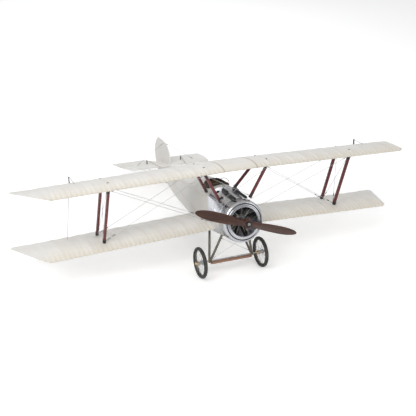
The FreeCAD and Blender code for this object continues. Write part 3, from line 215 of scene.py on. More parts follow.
def wing_fabric():
    """Doped linen on a wing or an aileron: pale rib tapes, darker bays, painted shade along the ribs, riblets
    and spars, a browned leading edge.
    """
    paint = Paint("doped_fabric_wing", roughness=0.55, **FABRIC_GLOSS)
    span = paint.math("ABSOLUTE", paint.x)
    base = clouded_linen(paint, 7.0, 30.0, (1.0, 0.12, 0.12), ((0.45, 0.0), (0.75, 0.30)))
    back = paint.math("DIVIDE", paint.y, CHORD)
    edge = paint.ramp(back, (0.0, 0.85), (0.04, 0.60), (0.15, 0.22), (0.32, 0.0))
    # Painted shade: darker brown ticks along the riblets near the leading edge stand in for their shading.
    riblet_shade = paint.math("MULTIPLY", paint.stripes(span, RIB_PITCH / 3, FIRST_RIB, 4.0 * MM), edge)
    speckle = paint.ramp(paint.noise(190.0, 6.0, None, 0.7), (0.40, 0.35), (0.62, 1.0))
    base = paint.mix(paint.mix(1.0, edge, speckle, "MULTIPLY"), base, WARM_CREAM)
    base = paint.mix(paint.math("MULTIPLY", riblet_shade, 0.45), base, RIBLET_SHADE_BROWN)
    # Painted shade in a 9 mm band along each rib, then a paler rib tape line in its middle.
    for width, strength, colour in ((9.0 * MM, 0.07, RIB_SHADOW_TONE), (3.6 * MM, 0.25, PALE_CREAM)):
        tape_and_rib_shadow_line = paint.stripes(span, RIB_PITCH, FIRST_RIB, width)
        base = paint.mix(paint.math("MULTIPLY", tape_and_rib_shadow_line, strength), base, colour)
    # Painted shade under each spar, as if its shadow showed through the fabric.
    for place in SPAR_PLACES:
        beside = paint.math("ABSOLUTE", paint.math("SUBTRACT", paint.y, place * CHORD))
        under = paint.ramp(paint.math("DIVIDE", beside, 7.0 * MM), (0.3, 0.06), (1.0, 0.0))
        base = paint.mix(under, base, SPAR_SHADOW_TONE)
    joint = paint.math("ABSOLUTE", paint.math("SUBTRACT", span, ROOT_X - 0.3 * MM))
    joint_line = paint.ramp(paint.math("DIVIDE", joint, 4.0 * MM), (0.25, 0.45), (1.0, 0.0))
    base = paint.mix(joint_line, base, JOINT_BROWN)
    stitch_line = paint.stripes(span, RIB_PITCH, FIRST_RIB, 1.0 * MM)
    stitch = paint.math("MULTIPLY", stitch_line, paint.stripes(paint.y, 9.0 * MM, 0.0, 1.8 * MM))
    normal = paint.bump(paint.weave(THREAD), 0.05 * MM, 0.5)
    normal = paint.bump(stitch, 0.35 * MM, 0.8, normal)
    normal = paint.bump(paint.noise(60.0, 3.0), 0.5 * MM, 0.35, normal)
    return paint.finish(base, paint.ramp(paint.noise(45.0, 4.0), (0.3, 0.46), (0.7, 0.66)), normal)


def body_fabric(name, stringer=None):
    """Doped linen over the fuselage or the tail, speckled, with lines over the formers."""
    paint = Paint(name, roughness=0.55, **FABRIC_GLOSS)
    base = clouded_linen(paint, 9.0, 22.0, (1.0, 0.2, 1.0), ((0.48, 0.0), (0.80, 0.28)))
    speckle = paint.ramp(paint.noise(210.0, 6.0, None, 0.7), (0.55, 0.0), (0.75, 0.22))
    base = paint.mix(speckle, base, WARM_CREAM)
    if stringer:
        line = paint.stripes(paint.y, stringer, 0.0, 5.0 * MM)
        base = paint.mix(paint.math("MULTIPLY", line, 0.14), base, STRINGER_SHADE)
    diagonal = paint.math("ADD", paint.x, paint.z)
    normal = paint.bump(paint.weave(THREAD, diagonal, paint.y), 0.05 * MM, 0.5)
    normal = paint.bump(paint.noise(50.0, 3.0), 0.5 * MM, 0.35, normal)
    return paint.finish(base, paint.ramp(paint.noise(45.0, 4.0), (0.3, 0.46), (0.7, 0.66)), normal)


def wood(name, dark, light, along, ring_scale, gloss, coat=0.4):
    """Varnished wood whose grain runs along one axis (0, 1 or 2)."""
    paint = Paint(name, roughness=gloss, Coat_Weight=coat, Coat_Roughness=0.12)
    stretch = [1.0, 1.0, 1.0]
    stretch[along] = 0.06
    where = paint.stretched(*stretch)
    warp = paint.noise(ring_scale * 0.22, 3.0, where)
    fibre = paint.noise(ring_scale * 4.0, 6.0, where, 0.65)
    rings = paint.math("FRACT", paint.math("MULTIPLY", warp, 9.0))
    grain = paint.math("ADD", paint.math("MULTIPLY", rings, 0.55), paint.math("MULTIPLY", fibre, 0.55))
    colour = paint.over(dark, light, grain, (0.15, 0.0), (0.85, 1.0))
    pores = paint.ramp(paint.noise(ring_scale * 9.0, 3.0, where, 0.6), (0.60, 0.0), (0.72, 0.55))
    colour = paint.mix(pores, colour, tuple(c * 0.35 for c in dark))
    edge = paint.node("ShaderNodeNewGeometry").outputs["Pointiness"]
    worn = paint.ramp(edge, (0.52, 0.0), (0.60, 0.35))
    colour = paint.mix(worn, colour, tuple(min(c * 1.7, 1.0) for c in light))
    normal = paint.bump(grain, 0.10 * MM, 0.5)
    rough = paint.ramp(fibre, (0.3, max(gloss - 0.10, 0.05)), (0.7, gloss + 0.12))
    return paint.finish(colour, rough, normal)


def metal(name, colour, roughness, stretch=(1.0, 1.0, 1.0), streak=60.0, smudge=0.5, depth=0.03):
    """Bare metal with brushing, smudges and brighter edges."""
    paint = Paint(name, roughness=roughness, metallic=1.0)
    where = paint.stretched(*stretch)
    brushed = paint.noise(streak * 6.0, 5.0, where, 0.7)
    smudges = paint.noise(18.0, 4.0)
    dark = tuple(c * (1.0 - 0.35 * smudge) for c in colour)
    shown = paint.over(dark, colour, smudges, (0.35, 0.0), (0.65, 1.0))
    shown = paint.over(shown, tuple(c * 0.62 for c in colour), brushed, (0.40, 0.0), (0.70, 0.22))
    edge = paint.node("ShaderNodeNewGeometry").outputs["Pointiness"]
    shown = paint.over(shown, (0.93, 0.93, 0.94), edge, (0.52, 0.0), (0.62, 0.5))
    normal = paint.bump(brushed, depth * MM, 0.7)
    normal = paint.bump(paint.noise(28.0, 2.0), 0.6 * MM, 0.22, normal)
    low, high = max(roughness - 0.10, 0.04), roughness + 0.14
    rough = paint.ramp(paint.noise(streak, 4.0, where), (0.3, low), (0.7, high))
    return paint.finish(shown, rough, normal)


def coated(name, dark, light, roughness, wear=(0.35, 0.34, 0.32), grain=240.0, depth=0.08, **sockets):
    """Paint, rubber or leather: mottled, finely grained, rubbed at the edges."""
    paint = Paint(name, roughness=roughness, **sockets)
    mottle = paint.noise(40.0, 4.0)
    colour = paint.over(dark, light, mottle, (0.35, 0.0), (0.65, 1.0))
    fine = paint.noise(grain, 5.0, None, 0.65)
    colour = paint.over(colour, tuple(min(c * 1.9, 1.0) for c in light), fine, (0.55, 0.0), (0.75, 0.35))
    edge = paint.node("ShaderNodeNewGeometry").outputs["Pointiness"]
    colour = paint.over(colour, wear, edge, (0.53, 0.0), (0.62, 0.6))
    normal = paint.bump(fine, depth * MM, 0.7)
    rough = paint.ramp(paint.noise(70.0, 4.0), (0.3, max(roughness - 0.12, 0.05)), (0.7, roughness + 0.14))
    return paint.finish(colour, rough, normal)


WING_FABRIC = wing_fabric()
BODY_FABRIC = body_fabric("doped_fabric_body", 90.0 * MM)
TAIL_FABRIC = body_fabric("doped_fabric_tail")
BURGUNDY = wood("burgundy_wood", (0.045, 0.004, 0.006), (0.130, 0.012, 0.016), 2, 90.0, 0.30, 0.45)
WALNUT = wood("walnut_wood", (0.030, 0.010, 0.006), (0.085, 0.028, 0.015), 0, 70.0, 0.42, 0.10)
MAHOGANY = wood("mahogany_wood", (0.150, 0.075, 0.048), (0.300, 0.165, 0.110), 0, 80.0, 0.36, 0.35)
SPRUCE = wood("spruce_wood", (0.420, 0.270, 0.130), (0.600, 0.420, 0.230), 0, 80.0, 0.45, 0.2)
ALUMINIUM = metal("polished_aluminium", (0.90, 0.91, 0.95), 0.30, (1.0, 0.10, 1.0), 40.0, 0.18)
SPUN_ALUMINIUM = metal("spun_aluminium", (0.80, 0.81, 0.84), 0.24, (1.0, 1.0, 1.0), 30.0, 0.25, 0.02)
STEEL = metal("engine_steel", (0.58, 0.58, 0.58), 0.30, (1.0, 1.0, 1.0), 60.0, 0.6)
BRASS = metal("polished_brass", (0.62, 0.46, 0.20), 0.28, (1.0, 1.0, 1.0), 60.0, 0.6)
WIRE = metal("wire_steel", (0.34, 0.34, 0.35), 0.38, (1.0, 1.0, 1.0), 200.0, 0.4)
ENGINE_BLACK = coated("engine_black", (0.012, 0.012, 0.013), (0.030, 0.029, 0.028), 0.36)
BLACK_METAL = coated("black_metal", (0.006, 0.006, 0.008), (0.014, 0.014, 0.018), 0.42, (0.05, 0.05, 0.055))
WHEEL_METAL = metal("wheel_metal", (0.20, 0.19, 0.17), 0.42, (1.0, 1.0, 1.0), 80.0, 0.6)
CASE_METAL = metal("case_metal", (0.16, 0.16, 0.17), 0.36, (1.0, 1.0, 1.0), 70.0, 0.6)
OLIVE = coated("olive_paint", (0.105, 0.095, 0.070), (0.170, 0.155, 0.118), 0.42, (0.40, 0.38, 0.33))
RUBBER = coated("tyre_rubber", (0.026, 0.026, 0.027), (0.060, 0.059, 0.058), 0.62, (0.16, 0.16, 0.16), 300.0,
                0.15)
LEATHER = coated("dark_leather", (0.016, 0.011, 0.009), (0.045, 0.030, 0.022), 0.46, (0.16, 0.11, 0.08), 420.0,
                 0.22)


# ---- mesh makers --------------------------------------------------------------------------------
class Shape:
    """Points and faces that grow into one mesh, in the aircraft's axes."""

    def __init__(self):
        self.points = []
        self.faces = []

    def add(self, points, faces, where=None):
        start = len(self.points)
        self.points.extend(where @ Vector(p) if where else Vector(p) for p in points)
        self.faces.extend([start + i for i in face] for face in faces)
        return self

    def add_shape(self, other, where=None):
        return self.add(other.points, other.faces, where)

    def lathe(self, profile, count, where=None, closed=False):
        """A (radius, height) profile in millimetres, turned about Z."""
        points = []
        for index in range(count):
            angle = 2 * math.pi * index / count
            points.extend(mm(r * math.cos(angle), r * math.sin(angle), h) for r, h in profile)
        rows = len(profile)
        faces = []
        for index in range(count):
            here = index * rows
            there = (index + 1) % count * rows
            for row in range(rows if closed else rows - 1):
                above = (row + 1) % rows
                faces.append([here + row, there + row, there + above, here + above])
        if not closed:
            faces.append([index * rows for index in range(count)][::-1])
            faces.append([index * rows + rows - 1 for index in range(count)])
        return self.add(points, faces, where)

    def tube(self, path, radius, count=10, closed=False):
        """A round tube along points; its radius may be one number or one for each point."""
        path = [Vector(p) for p in path]
        total = len(path)
        radii = radius if isinstance(radius, (list, tuple)) else [radius] * total
        side = None
        points = []
        for index, point in enumerate(path):
            before = path[index - 1] if index or closed else point
            after = path[(index + 1) % total] if index < total - 1 or closed else point
            along = (after - before).normalized()
            if side is None:
                side = along.orthogonal().normalized()
            side = (side - along * side.dot(along)).normalized()
            other = along.cross(side)
            for step in range(count):
                angle = 2 * math.pi * step / count
                points.append(point + (side * math.cos(angle) + other * math.sin(angle)) * radii[index])
        faces = []
        for index in range(total if closed else total - 1):
            here = index * count
            there = (index + 1) % total * count
            for step in range(count):
                beside = (step + 1) % count
                faces.append([here + step, here + beside, there + beside, there + step])
        if not closed:
            faces.append(list(range(count))[::-1])
            faces.append([(total - 1) * count + step for step in range(count)])
        return self.add(points, faces)

    def block(self, low, high, where=None, bevel=0.0):
        """A box between two corners in millimetres, its edges cut by a bevel."""
        rings = []
        for z, inset in ((low[2], bevel), (low[2] + bevel, 0.0), (high[2] - bevel, 0.0), (high[2], bevel)):
            ring = []
            for sx, sy in ((1, 1), (-1, 1), (-1, -1), (1, -1)):
                x = (high[0] if sx > 0 else low[0]) - sx * inset
                y = (high[1] if sy > 0 else low[1]) - sy * inset
                cut = bevel - inset * 0.5
                pair = [mm(x, y - sy * cut, z), mm(x - sx * cut, y, z)]
                ring.extend(pair if sx == sy else pair[::-1])
            rings.append(ring)
        points = [p for ring in rings for p in ring]
        faces = [list(range(8))[::-1], list(range(24, 32))]
        for level in range(3):
            for step in range(8):
                beside = (step + 1) % 8
                start = level * 8
                faces.append([start + step, start + beside, start + 8 + beside, start + 8 + step])
        return self.add(points, faces, where)


def mm(x, y, z):
    """A place given in millimetres."""
    return Vector((x, y, z)) * MM


def spot(place, towards):
    """A matrix that carries Z onto a direction at a place."""
    turn = Vector((0, 0, 1)).rotation_difference(Vector(towards)).to_matrix().to_4x4()
    return Matrix.Translation(Vector(place)) @ turn


def piece(name, shape, material, body="airframe", stands_for=(), where=AIRCRAFT, sharp=40.0):
    """A finished object that rides on a body, or on none."""
    mesh = bpy.data.meshes.new(name)
    mesh.from_pydata([tuple(p) for p in shape.points], [], shape.faces)
    mesh.validate()
    made = bpy.data.objects.new(name, mesh)
    bpy.context.scene.collection.objects.link(made)
    made.matrix_world = where
    mesh.materials.append(material)
    mesh.polygons.foreach_set("use_smooth", [True] * len(mesh.polygons))
    mesh.set_sharp_from_angle(angle=math.radians(sharp))
    if body:
        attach(made, body)
    if stands_for:
        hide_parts(*stands_for)
    return made


# ---- wings --------------------------------------------------------------------------------------
THICKNESS = 0.09
CAMBER = 0.045
CAMBER_PLACE = 0.4
HALF_SPAN = 750.0 * MM
TOP_LEADING_EDGE = Vector((0, 5.0, 184.5)) * MM
LOWER_LEADING_EDGE = Vector((0, 121.0, -42.5)) * MM
TOP_INCIDENCE = math.radians(1.7)
LOWER_INCIDENCE = math.radians(-2.0)
TOP_DROOP = math.radians(1.2)
LOWER_DROOP = math.radians(2.0)
AILERON_X = 430.0 * MM
AILERON_GAP = 1.5 * MM
HINGE_PLACE = 0.66
TIP_OUTLINE = [(0.0, 655.5), (0.01, 660.0), (0.03, 665.9), (0.05, 670.0), (0.076, 673.4), (0.25, 688.8),
               (0.50, 711.5), (0.75, 734.3), (0.87, 745.3), (0.905, 748.6), (0.93, 749.9), (0.95, 748.6),
               (0.97, 745.6), (0.985, 742.3), (1.0, 738.0)]
TIP_EDGE = 2.4 * MM
TIP_EDGE_Z = 2.4 * MM
FABRIC_SAG = 0.7 * MM
TAPE_HEIGHT = 0.3 * MM
SCALLOP = 2.2 * MM


def camber(place):
    if place < CAMBER_PLACE:
        return CAMBER / CAMBER_PLACE ** 2 * (2 * CAMBER_PLACE * place - place ** 2)
    return CAMBER / (1 - CAMBER_PLACE) ** 2 * (1 - 2 * CAMBER_PLACE + 2 * CAMBER_PLACE * place - place ** 2)


def half_thickness(place):
    place = max(place, 0.0)
    shape = 0.2969 * math.sqrt(place) - 0.1260 * place - 0.3516 * place ** 2
    shape += 0.2843 * place ** 3 - 0.1015 * place ** 4
    return 5 * THICKNESS * shape + place * 0.0033


def tip_x(place):
    """How far out the wing reaches at a share of the chord."""
    place = min(max(place, 0.0), 1.0)
    for (first, low), (last, high) in zip(TIP_OUTLINE, TIP_OUTLINE[1:]):
        if place <= last:
            share = (place - first) / (last - first)
            return (low + (high - low) * share) * MM
    return TIP_OUTLINE[-1][1] * MM


def bay_share(x):
    """0 on a rib, 1 at the next one."""
    return ((abs(x) - FIRST_RIB) / RIB_PITCH) % 1.0


def fabric_offset(x, place):
    """How far the fabric stands off the smooth section: down between ribs, up along the rib tapes."""
    share = bay_share(x)
    beside = min(share, 1 - share) * RIB_PITCH
    fade = min(max((place - 0.02) / 0.10, 0.0), 1.0)
    sag = math.sin(math.pi * share) ** 2 * fade
    riblet = math.sin(2 * math.pi * share) ** 2 * (1 - fade) * 0.30
    tape = TAPE_HEIGHT * (1.0 if beside < 3.2 * MM else 0.0)
    return tape - FABRIC_SAG * (sag + riblet)


def wing_matrix(upper, side, centre=False):
    edge = TOP_LEADING_EDGE if upper else LOWER_LEADING_EDGE
    incidence = TOP_INCIDENCE if upper else LOWER_INCIDENCE
    placed = Matrix.Translation(edge) @ Matrix.Rotation(-incidence, 4, "X")
    if not centre:
        pivot = Vector((side * ROOT_X, 0, edge.z))
        droop = TOP_DROOP if upper else LOWER_DROOP
        turn = Matrix.Translation(pivot) @ Matrix.Rotation(side * droop, 4, "Y") @ Matrix.Translation(-pivot)
        placed = turn @ placed
    return AIRCRAFT @ placed


def span_stations(first, last):
    """Places along the span: both edges of each rib tape and a few between the tapes."""
    stations = {first, last}
    index = int((first - FIRST_RIB) / RIB_PITCH) - 2
    while True:
        rib = FIRST_RIB + index * RIB_PITCH
        if rib > last + RIB_PITCH:
            break
        for offset in (-3.7, -3.1, 0.0, 3.1, 3.7, 7.5, 12.5, 18.0, 23.5, 29.0, 34.5, 39.4):
            x = rib + offset * MM
            if first + 0.4 * MM < x < last - 0.4 * MM:
                stations.add(x)
        index += 1
    return sorted(stations)


def skin(columns, rows, point, side, holes=lambda x, place: False):
    """A closed shell from an upper and a lower sheet that share one grid of (x, place)."""
    shape = Shape()
    used = {}
    for i in range(len(columns) - 1):
        for j in range(len(rows) - 1):
            middle_x = (columns[i] + columns[i + 1]) / 2
            middle_place = (rows[j] + rows[j + 1]) / 2
            if not holes(middle_x, middle_place):
                used[(i, j)] = True
    numbers = {}

    def number(i, j, face):
        key = (i, j, face)
        if j == 0 and point(columns[i], rows[0], 1) == point(columns[i], rows[0], -1):
            key = (i, j, 1)
        if key not in numbers:
            numbers[key] = len(shape.points)
            x, y, z = point(columns[i], rows[j], key[2])
            shape.points.append(Vector((x * side, y, z)))
        return numbers[key]

    def face(indices):
        kept = [k for n, k in enumerate(indices) if k != indices[n - 1]]
        if len(set(kept)) > 2:
            shape.faces.append(kept if side > 0 else kept[::-1])

    for i, j in used:
        corners = ((i, j), (i + 1, j), (i + 1, j + 1), (i, j + 1))
        face([number(a, b, 1) for a, b in corners])
        face([number(a, b, -1) for a, b in corners][::-1])
        for (a, b), neighbour in zip(zip(corners, corners[1:] + corners[:1]),
                                     ((i, j - 1), (i + 1, j), (i, j + 1), (i - 1, j))):
            if neighbour not in used:
                face([number(*b, 1), number(*a, 1), number(*a, -1), number(*b, -1)])
    return shape


def wing_point(x, place, face, reach_in, cap=True):
    """A point on the fabric of a flat port wing, with the tip and the scalloped trailing edge."""
    along = x
    fullness = 1.0
    if cap and x > reach_in:
        share = (x - reach_in) / (HALF_SPAN - reach_in)
        along = reach_in + share * (tip_x(place) - reach_in)
        fullness = (1 - share) ** 0.85
    thick = half_thickness(place) * CHORD
    if thick > TIP_EDGE / 2:
        thick = TIP_EDGE / 2 * (1 - fullness) + thick * fullness
    offset = fabric_offset(along, place) * fullness
    middle = camber(place) * CHORD * fullness + TIP_EDGE_Z * (1 - fullness)
    z = middle + face * max(thick + offset, 0.5 * MM * min(place * 40, 1.0))
    pull = SCALLOP * math.sin(math.pi * bay_share(along)) ** 2 * max((place - 0.86) / 0.14, 0.0) ** 1.5
    return (along, place * CHORD - pull * fullness, z)


TIP_START = 654.9 * MM
TIP_COLUMNS = [TIP_START + (HALF_SPAN - TIP_START) * k / 22 for k in range(1, 23)]
SECTION_ROWS = [0.0, 0.0012, 0.005, 0.011, 0.020, 0.032, 0.048, 0.068, 0.092, 0.12, 0.15, 0.19, 0.235, 0.285,
                0.34, 0.40, 0.46, 0.52, 0.58, 0.625, 0.655, 0.70, 0.75, 0.80, 0.845, 0.885, 0.92, 0.95, 0.975,
                0.99, 1.0]
COVE_PLACE = 0.655

for upper, level in ((True, "top"), (False, "lower")):
    for side, side_name in ((1, "port"), (-1, "starboard")):
        columns = sorted(set(span_stations(ROOT_X, TIP_START) + TIP_COLUMNS) | {AILERON_X})
        shell = skin(columns, SECTION_ROWS, lambda x, place, face: wing_point(x, place, face, TIP_START), side,
                     lambda x, place: x > AILERON_X and place > COVE_PLACE)
        piece(f"{level}_wing_skin_{side_name}", shell, WING_FABRIC,
              stands_for=(f"{level}_wing_covering_{side_name}",), where=wing_matrix(upper, side))

centre_reach = ROOT_X - 0.6 * MM
centre_columns = [-centre_reach + 2 * centre_reach * k / 26 for k in range(27)]
centre_shell = skin(centre_columns, SECTION_ROWS,
                    lambda x, place, face: wing_point(x, place, face, TIP_START, False), 1)
piece("top_wing_skin_centre", centre_shell, WING_FABRIC, stands_for=("top_wing_covering_centre",),
      where=wing_matrix(True, 1, True))

HINGE_Y = HINGE_PLACE * CHORD
NOSE_STEPS = 6
AILERON_ROWS = [-1.0 + k / NOSE_STEPS for k in range(NOSE_STEPS)]
AILERON_ROWS += [0.0, 0.12, 0.25, 0.38, 0.50, 0.62, 0.73, 0.83, 0.91, 0.96, 1.0]


def aileron_point(x, row, face):
    """A row below 0 lies on the round nose, above it on the section's surfaces."""
    if row <= 0.0:
        angle = math.pi / 2 * (row + 1.0)
        along = wing_point(x, HINGE_PLACE, face, TIP_START)[0]
        top = wing_point(x, HINGE_PLACE, 1, TIP_START)[2]
        bottom = wing_point(x, HINGE_PLACE, -1, TIP_START)[2]
        radius = (top - bottom) / 2
        middle = (top + bottom) / 2
        return (along, HINGE_Y - radius * math.cos(angle), middle + face * radius * math.sin(angle))
    return wing_point(x, HINGE_PLACE + (1 - HINGE_PLACE) * row, face, TIP_START)


for upper, level in ((True, "top"), (False, "lower")):
    for side, side_name in ((1, "port"), (-1, "starboard")):
        columns = span_stations(AILERON_X + AILERON_GAP, TIP_START) + TIP_COLUMNS
        name = f"{level}_aileron_{side_name}"
        piece(f"{level}_aileron_skin_{side_name}", skin(columns, AILERON_ROWS, aileron_point, side),
              WING_FABRIC, name, stands_for=(name,), where=wing_matrix(upper, side))


# ---- finished copies of CAD shells --------------------------------------------------------------
def shell_of(node):
    """A CAD node's surface in the aircraft's axes, its coincident points joined."""
    mesh = frame["nodes"][node].data
    shape = Shape()
    places = {}
    numbers = []
    for vertex in mesh.vertices:
        key = tuple(round(v, 6) for v in vertex.co)
        if key not in places:
            places[key] = len(shape.points)
            shape.points.append(TO_AIRCRAFT @ vertex.co)
        numbers.append(places[key])
    for polygon in mesh.polygons:
        corners = [numbers[i] for i in polygon.vertices]
        if len(set(corners)) == len(corners):
            shape.faces.append(corners)
    return shape


def runs_of(node):
    """Every separate solid of a CAD node, as its points in the aircraft's axes."""
    shape = shell_of(node)
    home = list(range(len(shape.points)))

    def root(i):
        while home[i] != i:
            home[i] = home[home[i]]
            i = home[i]
        return i

    for face in shape.faces:
        for a, b in zip(face, face[1:]):
            home[root(a)] = root(b)
    groups = {}
    for i, point in enumerate(shape.points):
        groups.setdefault(root(i), []).append(point)
    return list(groups.values())


def ends_of(points):
    """The two ends of a long thin solid's centre line."""
    first = max(points, key=lambda p: (p - points[0]).length)
    last = max(points, key=lambda p: (p - first).length)
    along = (last - first).normalized()
    reach = (last - first).length
    ends = []
    for low, high in ((-1.0, 2.5 * MM), (reach - 2.5 * MM, reach + 1.0)):
        near = [p for p in points if low <= (p - first).dot(along) <= high]
        ends.append(sum(near, Vector()) / len(near))
    return ends


def between(a, b, share):
    return a + (b - a) * share


def wire(shape, a, b, radius, ferrule=0.0):
    """A taut wire, with a wrapped splice near each end."""
    shape.tube([a, b], radius, 8)
    if ferrule:
        length = (b - a).length
        for start, end in ((0.004, 0.018), (length - 0.018, length - 0.004)):
            path = [between(a, b, (start + (end - start) * k / 14) / length) for k in range(15)]
            shape.tube(path, [ferrule * (1.12 if k % 2 else 0.9) for k in range(15)], 10)


RIVET = [(0.95, -0.05), (0.8, 0.25), (0.45, 0.48), (0.0, 0.55)]


def rivet(shape, place, normal, size=1.0):
    shape.lathe([(r * size, h * size) for r, h in RIVET], 10, spot(place, normal))


def on_shell(tree, place, towards):
    """The outside of a shell met from a place, and the outward normal there."""
    hit, normal, _, _ = tree.ray_cast(Vector(place), Vector(towards).normalized())
    if hit is None:
        return None
    if normal.dot(Vector(towards)) > 0:
        normal = -normal
    return hit, normal


RAY_START = 0.2


def met_around(tree, middle, count, turn=0.0, reach=0.12):
    """Runs of (point, normal) that rays towards a middle meet, all round it; a miss ends a run."""
    runs = [[]]
    for k in range(count[0]):
        angle = 2 * math.pi * k / count[1] + turn
        out = Vector((math.sin(angle), 0, math.cos(angle)))
        met = on_shell(tree, middle + out * RAY_START, -out)
        if met and (met[0] - middle).length < reach:
            runs[-1].append(met)
        elif len(runs[-1]) > 2:
            runs.append([])
    return [run for run in runs if len(run) > 2]


FINISHED_COPIES = {
    "fuselage_covering": (BODY_FABRIC, 28), "side_panels": (ALUMINIUM, 30), "top_decking": (ALUMINIUM, 30),
    "tailplane": (TAIL_FABRIC, 30), "fin": (TAIL_FABRIC, 30), "interplane_struts": (BURGUNDY, 40),
    "cabane_struts": (BURGUNDY, 40), "undercarriage_legs": (OLIVE, 40), "axle_fairing": (MAHOGANY, 35),
    "elevators": (TAIL_FABRIC, 30), "rudder": (TAIL_FABRIC, 30),
}
for node, (material, sharp) in FINISHED_COPIES.items():
    body = node if node in ("elevators", "rudder") else "airframe"
    piece(node + "_finish", shell_of(node), material, body, stands_for=(node,), sharp=sharp)

# ---- fabric details: rib tapes on the tail, frame tapes and lacing on the body ------------------
def tape(shape, points, width, height, normals):
    """A flat raised strip along points."""
    quads = []
    for index, (point, normal) in enumerate(zip(points, normals)):
        before = points[max(index - 1, 0)]
        after = points[min(index + 1, len(points) - 1)]
        across = (after - before).cross(normal).normalized() * (width / 2)
        top = normal * height
        quads.extend([point - across - top * 0.3, point - across * 0.86 + top, point + across * 0.86 + top,
                      point + across - top * 0.3])
    faces = []
    for index in range(len(points) - 1):
        for k in range(3):
            a = index * 4 + k
            faces.append([a, a + 1, a + 5, a + 4])
    faces.append([0, 1, 2, 3][::-1])
    faces.append([len(quads) - 4 + k for k in range(4)])
    shape.add(quads, faces)


def lines_taped(name, node, lines, width, height, directions, body):
    """Tapes laid on both faces of a CAD node along lines of starting points, one for each direction."""
    tree = craft_tree(node)
    shape = Shape()
    for towards, start_from in directions:
        for line in lines:
            met = [hit for hit in (on_shell(tree, start_from(*place), towards) for place in line) if hit]
            if len(met) > 1:
                tape(shape, [point for point, _ in met], width, height, [normal for _, normal in met])
    piece(name, shape, TAIL_FABRIC, body)


ABOVE_AND_BELOW = (((0, 0, -1), lambda x, y: Vector((x * MM, y * MM, RAY_START))),
                   ((0, 0, 1), lambda x, y: Vector((x * MM, y * MM, 0.0))))
BOTH_SIDES = (((-1, 0, 0), lambda y, z: Vector((RAY_START / 2, y * MM, z * MM))),
              ((1, 0, 0), lambda y, z: Vector((-RAY_START / 2, y * MM, z * MM))))
lines_taped("tailplane_rib_tapes", "tailplane",
            [[(x, y) for y in range(709, 793, 12)] for x in range(-160, 161, 32) if abs(x) > 20],
            4.5 * MM, 0.25 * MM, ABOVE_AND_BELOW, "airframe")
lines_taped("elevator_rib_tapes", "elevators",
            [[(x, y) for y in range(800, 907, 15)] for x in range(-192, 193, 32) if abs(x) > 60],
            4.5 * MM, 0.25 * MM, ABOVE_AND_BELOW, "elevators")
lines_taped("fin_rib_tapes", "fin", [[(y, z) for y in range(722, 802, 10)] for z in (120, 150)],
            4.0 * MM, 0.22 * MM, BOTH_SIDES, "airframe")
lines_taped("rudder_rib_tapes", "rudder",
            [[(y, z) for y in range(808, 908, 9)] for z in (45, 72, 100, 130, 160)],
            4.0 * MM, 0.22 * MM, BOTH_SIDES, "rudder")


def hoop_tapes(shape, tree, middle, count, width, height, turn=0.0, reach=0.12, closed=False):
    """Tapes round a shell, one for each unbroken run."""
    runs = met_around(tree, middle, count, turn, reach)
    for number, run in enumerate(runs):
        if closed and number == len(runs) - 1:
            run = run + run[:1]
        tape(shape, [point for point, _ in run], width, height, [normal for _, normal in run])


body_tree = craft_tree("fuselage_covering")
body_bands = Shape()
for y in (174.5, 292.0, 382.0, 472.0, 562.0, 652.0, 738.0, 792.0):
    hoop_tapes(body_bands, body_tree, mm(0, y, 30.0 + 0.038 * (y - 172.0)), (64, 64), 6.0 * MM, 0.3 * MM, 0.0,
               0.15, True)
piece("fuselage_frame_tapes", body_bands, BODY_FABRIC)

seam = Shape()
LACING_START, LACING_STEP, LACING_COUNT = 182.0, 5.0, 118
LACING_END_Z = 78.0
LONGEST_STITCH = 9 * MM
for side in (-1, 1):
    for height in (-30.0, 60.0):
        last = None
        for k in range(LACING_COUNT):
            rise = (LACING_END_Z - height) * 0.8 * k / (LACING_COUNT - 1)
            along = (LACING_START + LACING_STEP * k) * MM
            met = on_shell(body_tree, (side * RAY_START, along, (height + rise) * MM), (-side, 0, 0))
            if met and last and (met[0] - last).length < LONGEST_STITCH:
                stitch = [between(last, met[0], share) + met[1] * lift * MM
                          for share, lift in ((0.15, 0.15), (0.5, 0.55), (0.85, 0.15))]
                seam.tube(stitch, 0.35 * MM, 6)
            last = met[0] if met else None
piece("fuselage_lacing", seam, SPRUCE)

# ---- nose: cowling, rivets, straps, caps and louvres --------------------------------------------
NOSE = spot((0, 0, 0), (0, 1, 0))
NOSE_MIDDLE_Z = 5.0
COWLING_RADIUS = 77.0
GROOVE_RADIUS = 64.4 * MM
COWLING_PROFILE = [
    (COWLING_RADIUS, 45.9), (77.25, 40.0), (COWLING_RADIUS, 34.0), (COWLING_RADIUS, 24.0),           # side
    (76.6, 17.0), (75.2, 10.5), (72.8, 5.8), (69.8, 2.9), (67.2, 1.7), (66.2, 1.9),                  # shoulder
    (65.4, 3.0), (64.3, 3.7), (63.2, 3.0), (62.5, 1.5), (61.4, 0.9), (58.5, 0.7), (55.6, 0.5),       # groove
    (54.4, 0.0), (52.9, 0.1), (51.8, 1.2), (51.5, 2.9), (52.0, 4.6), (53.4, 5.5),                    # lip
    (58.0, 5.0), (64.0, 5.6), (68.5, 6.0), (71.6, 9.0), (73.9, 13.5), (75.2, 20.0), (75.8, 28.0),    # inside
    (75.8, 45.9)]


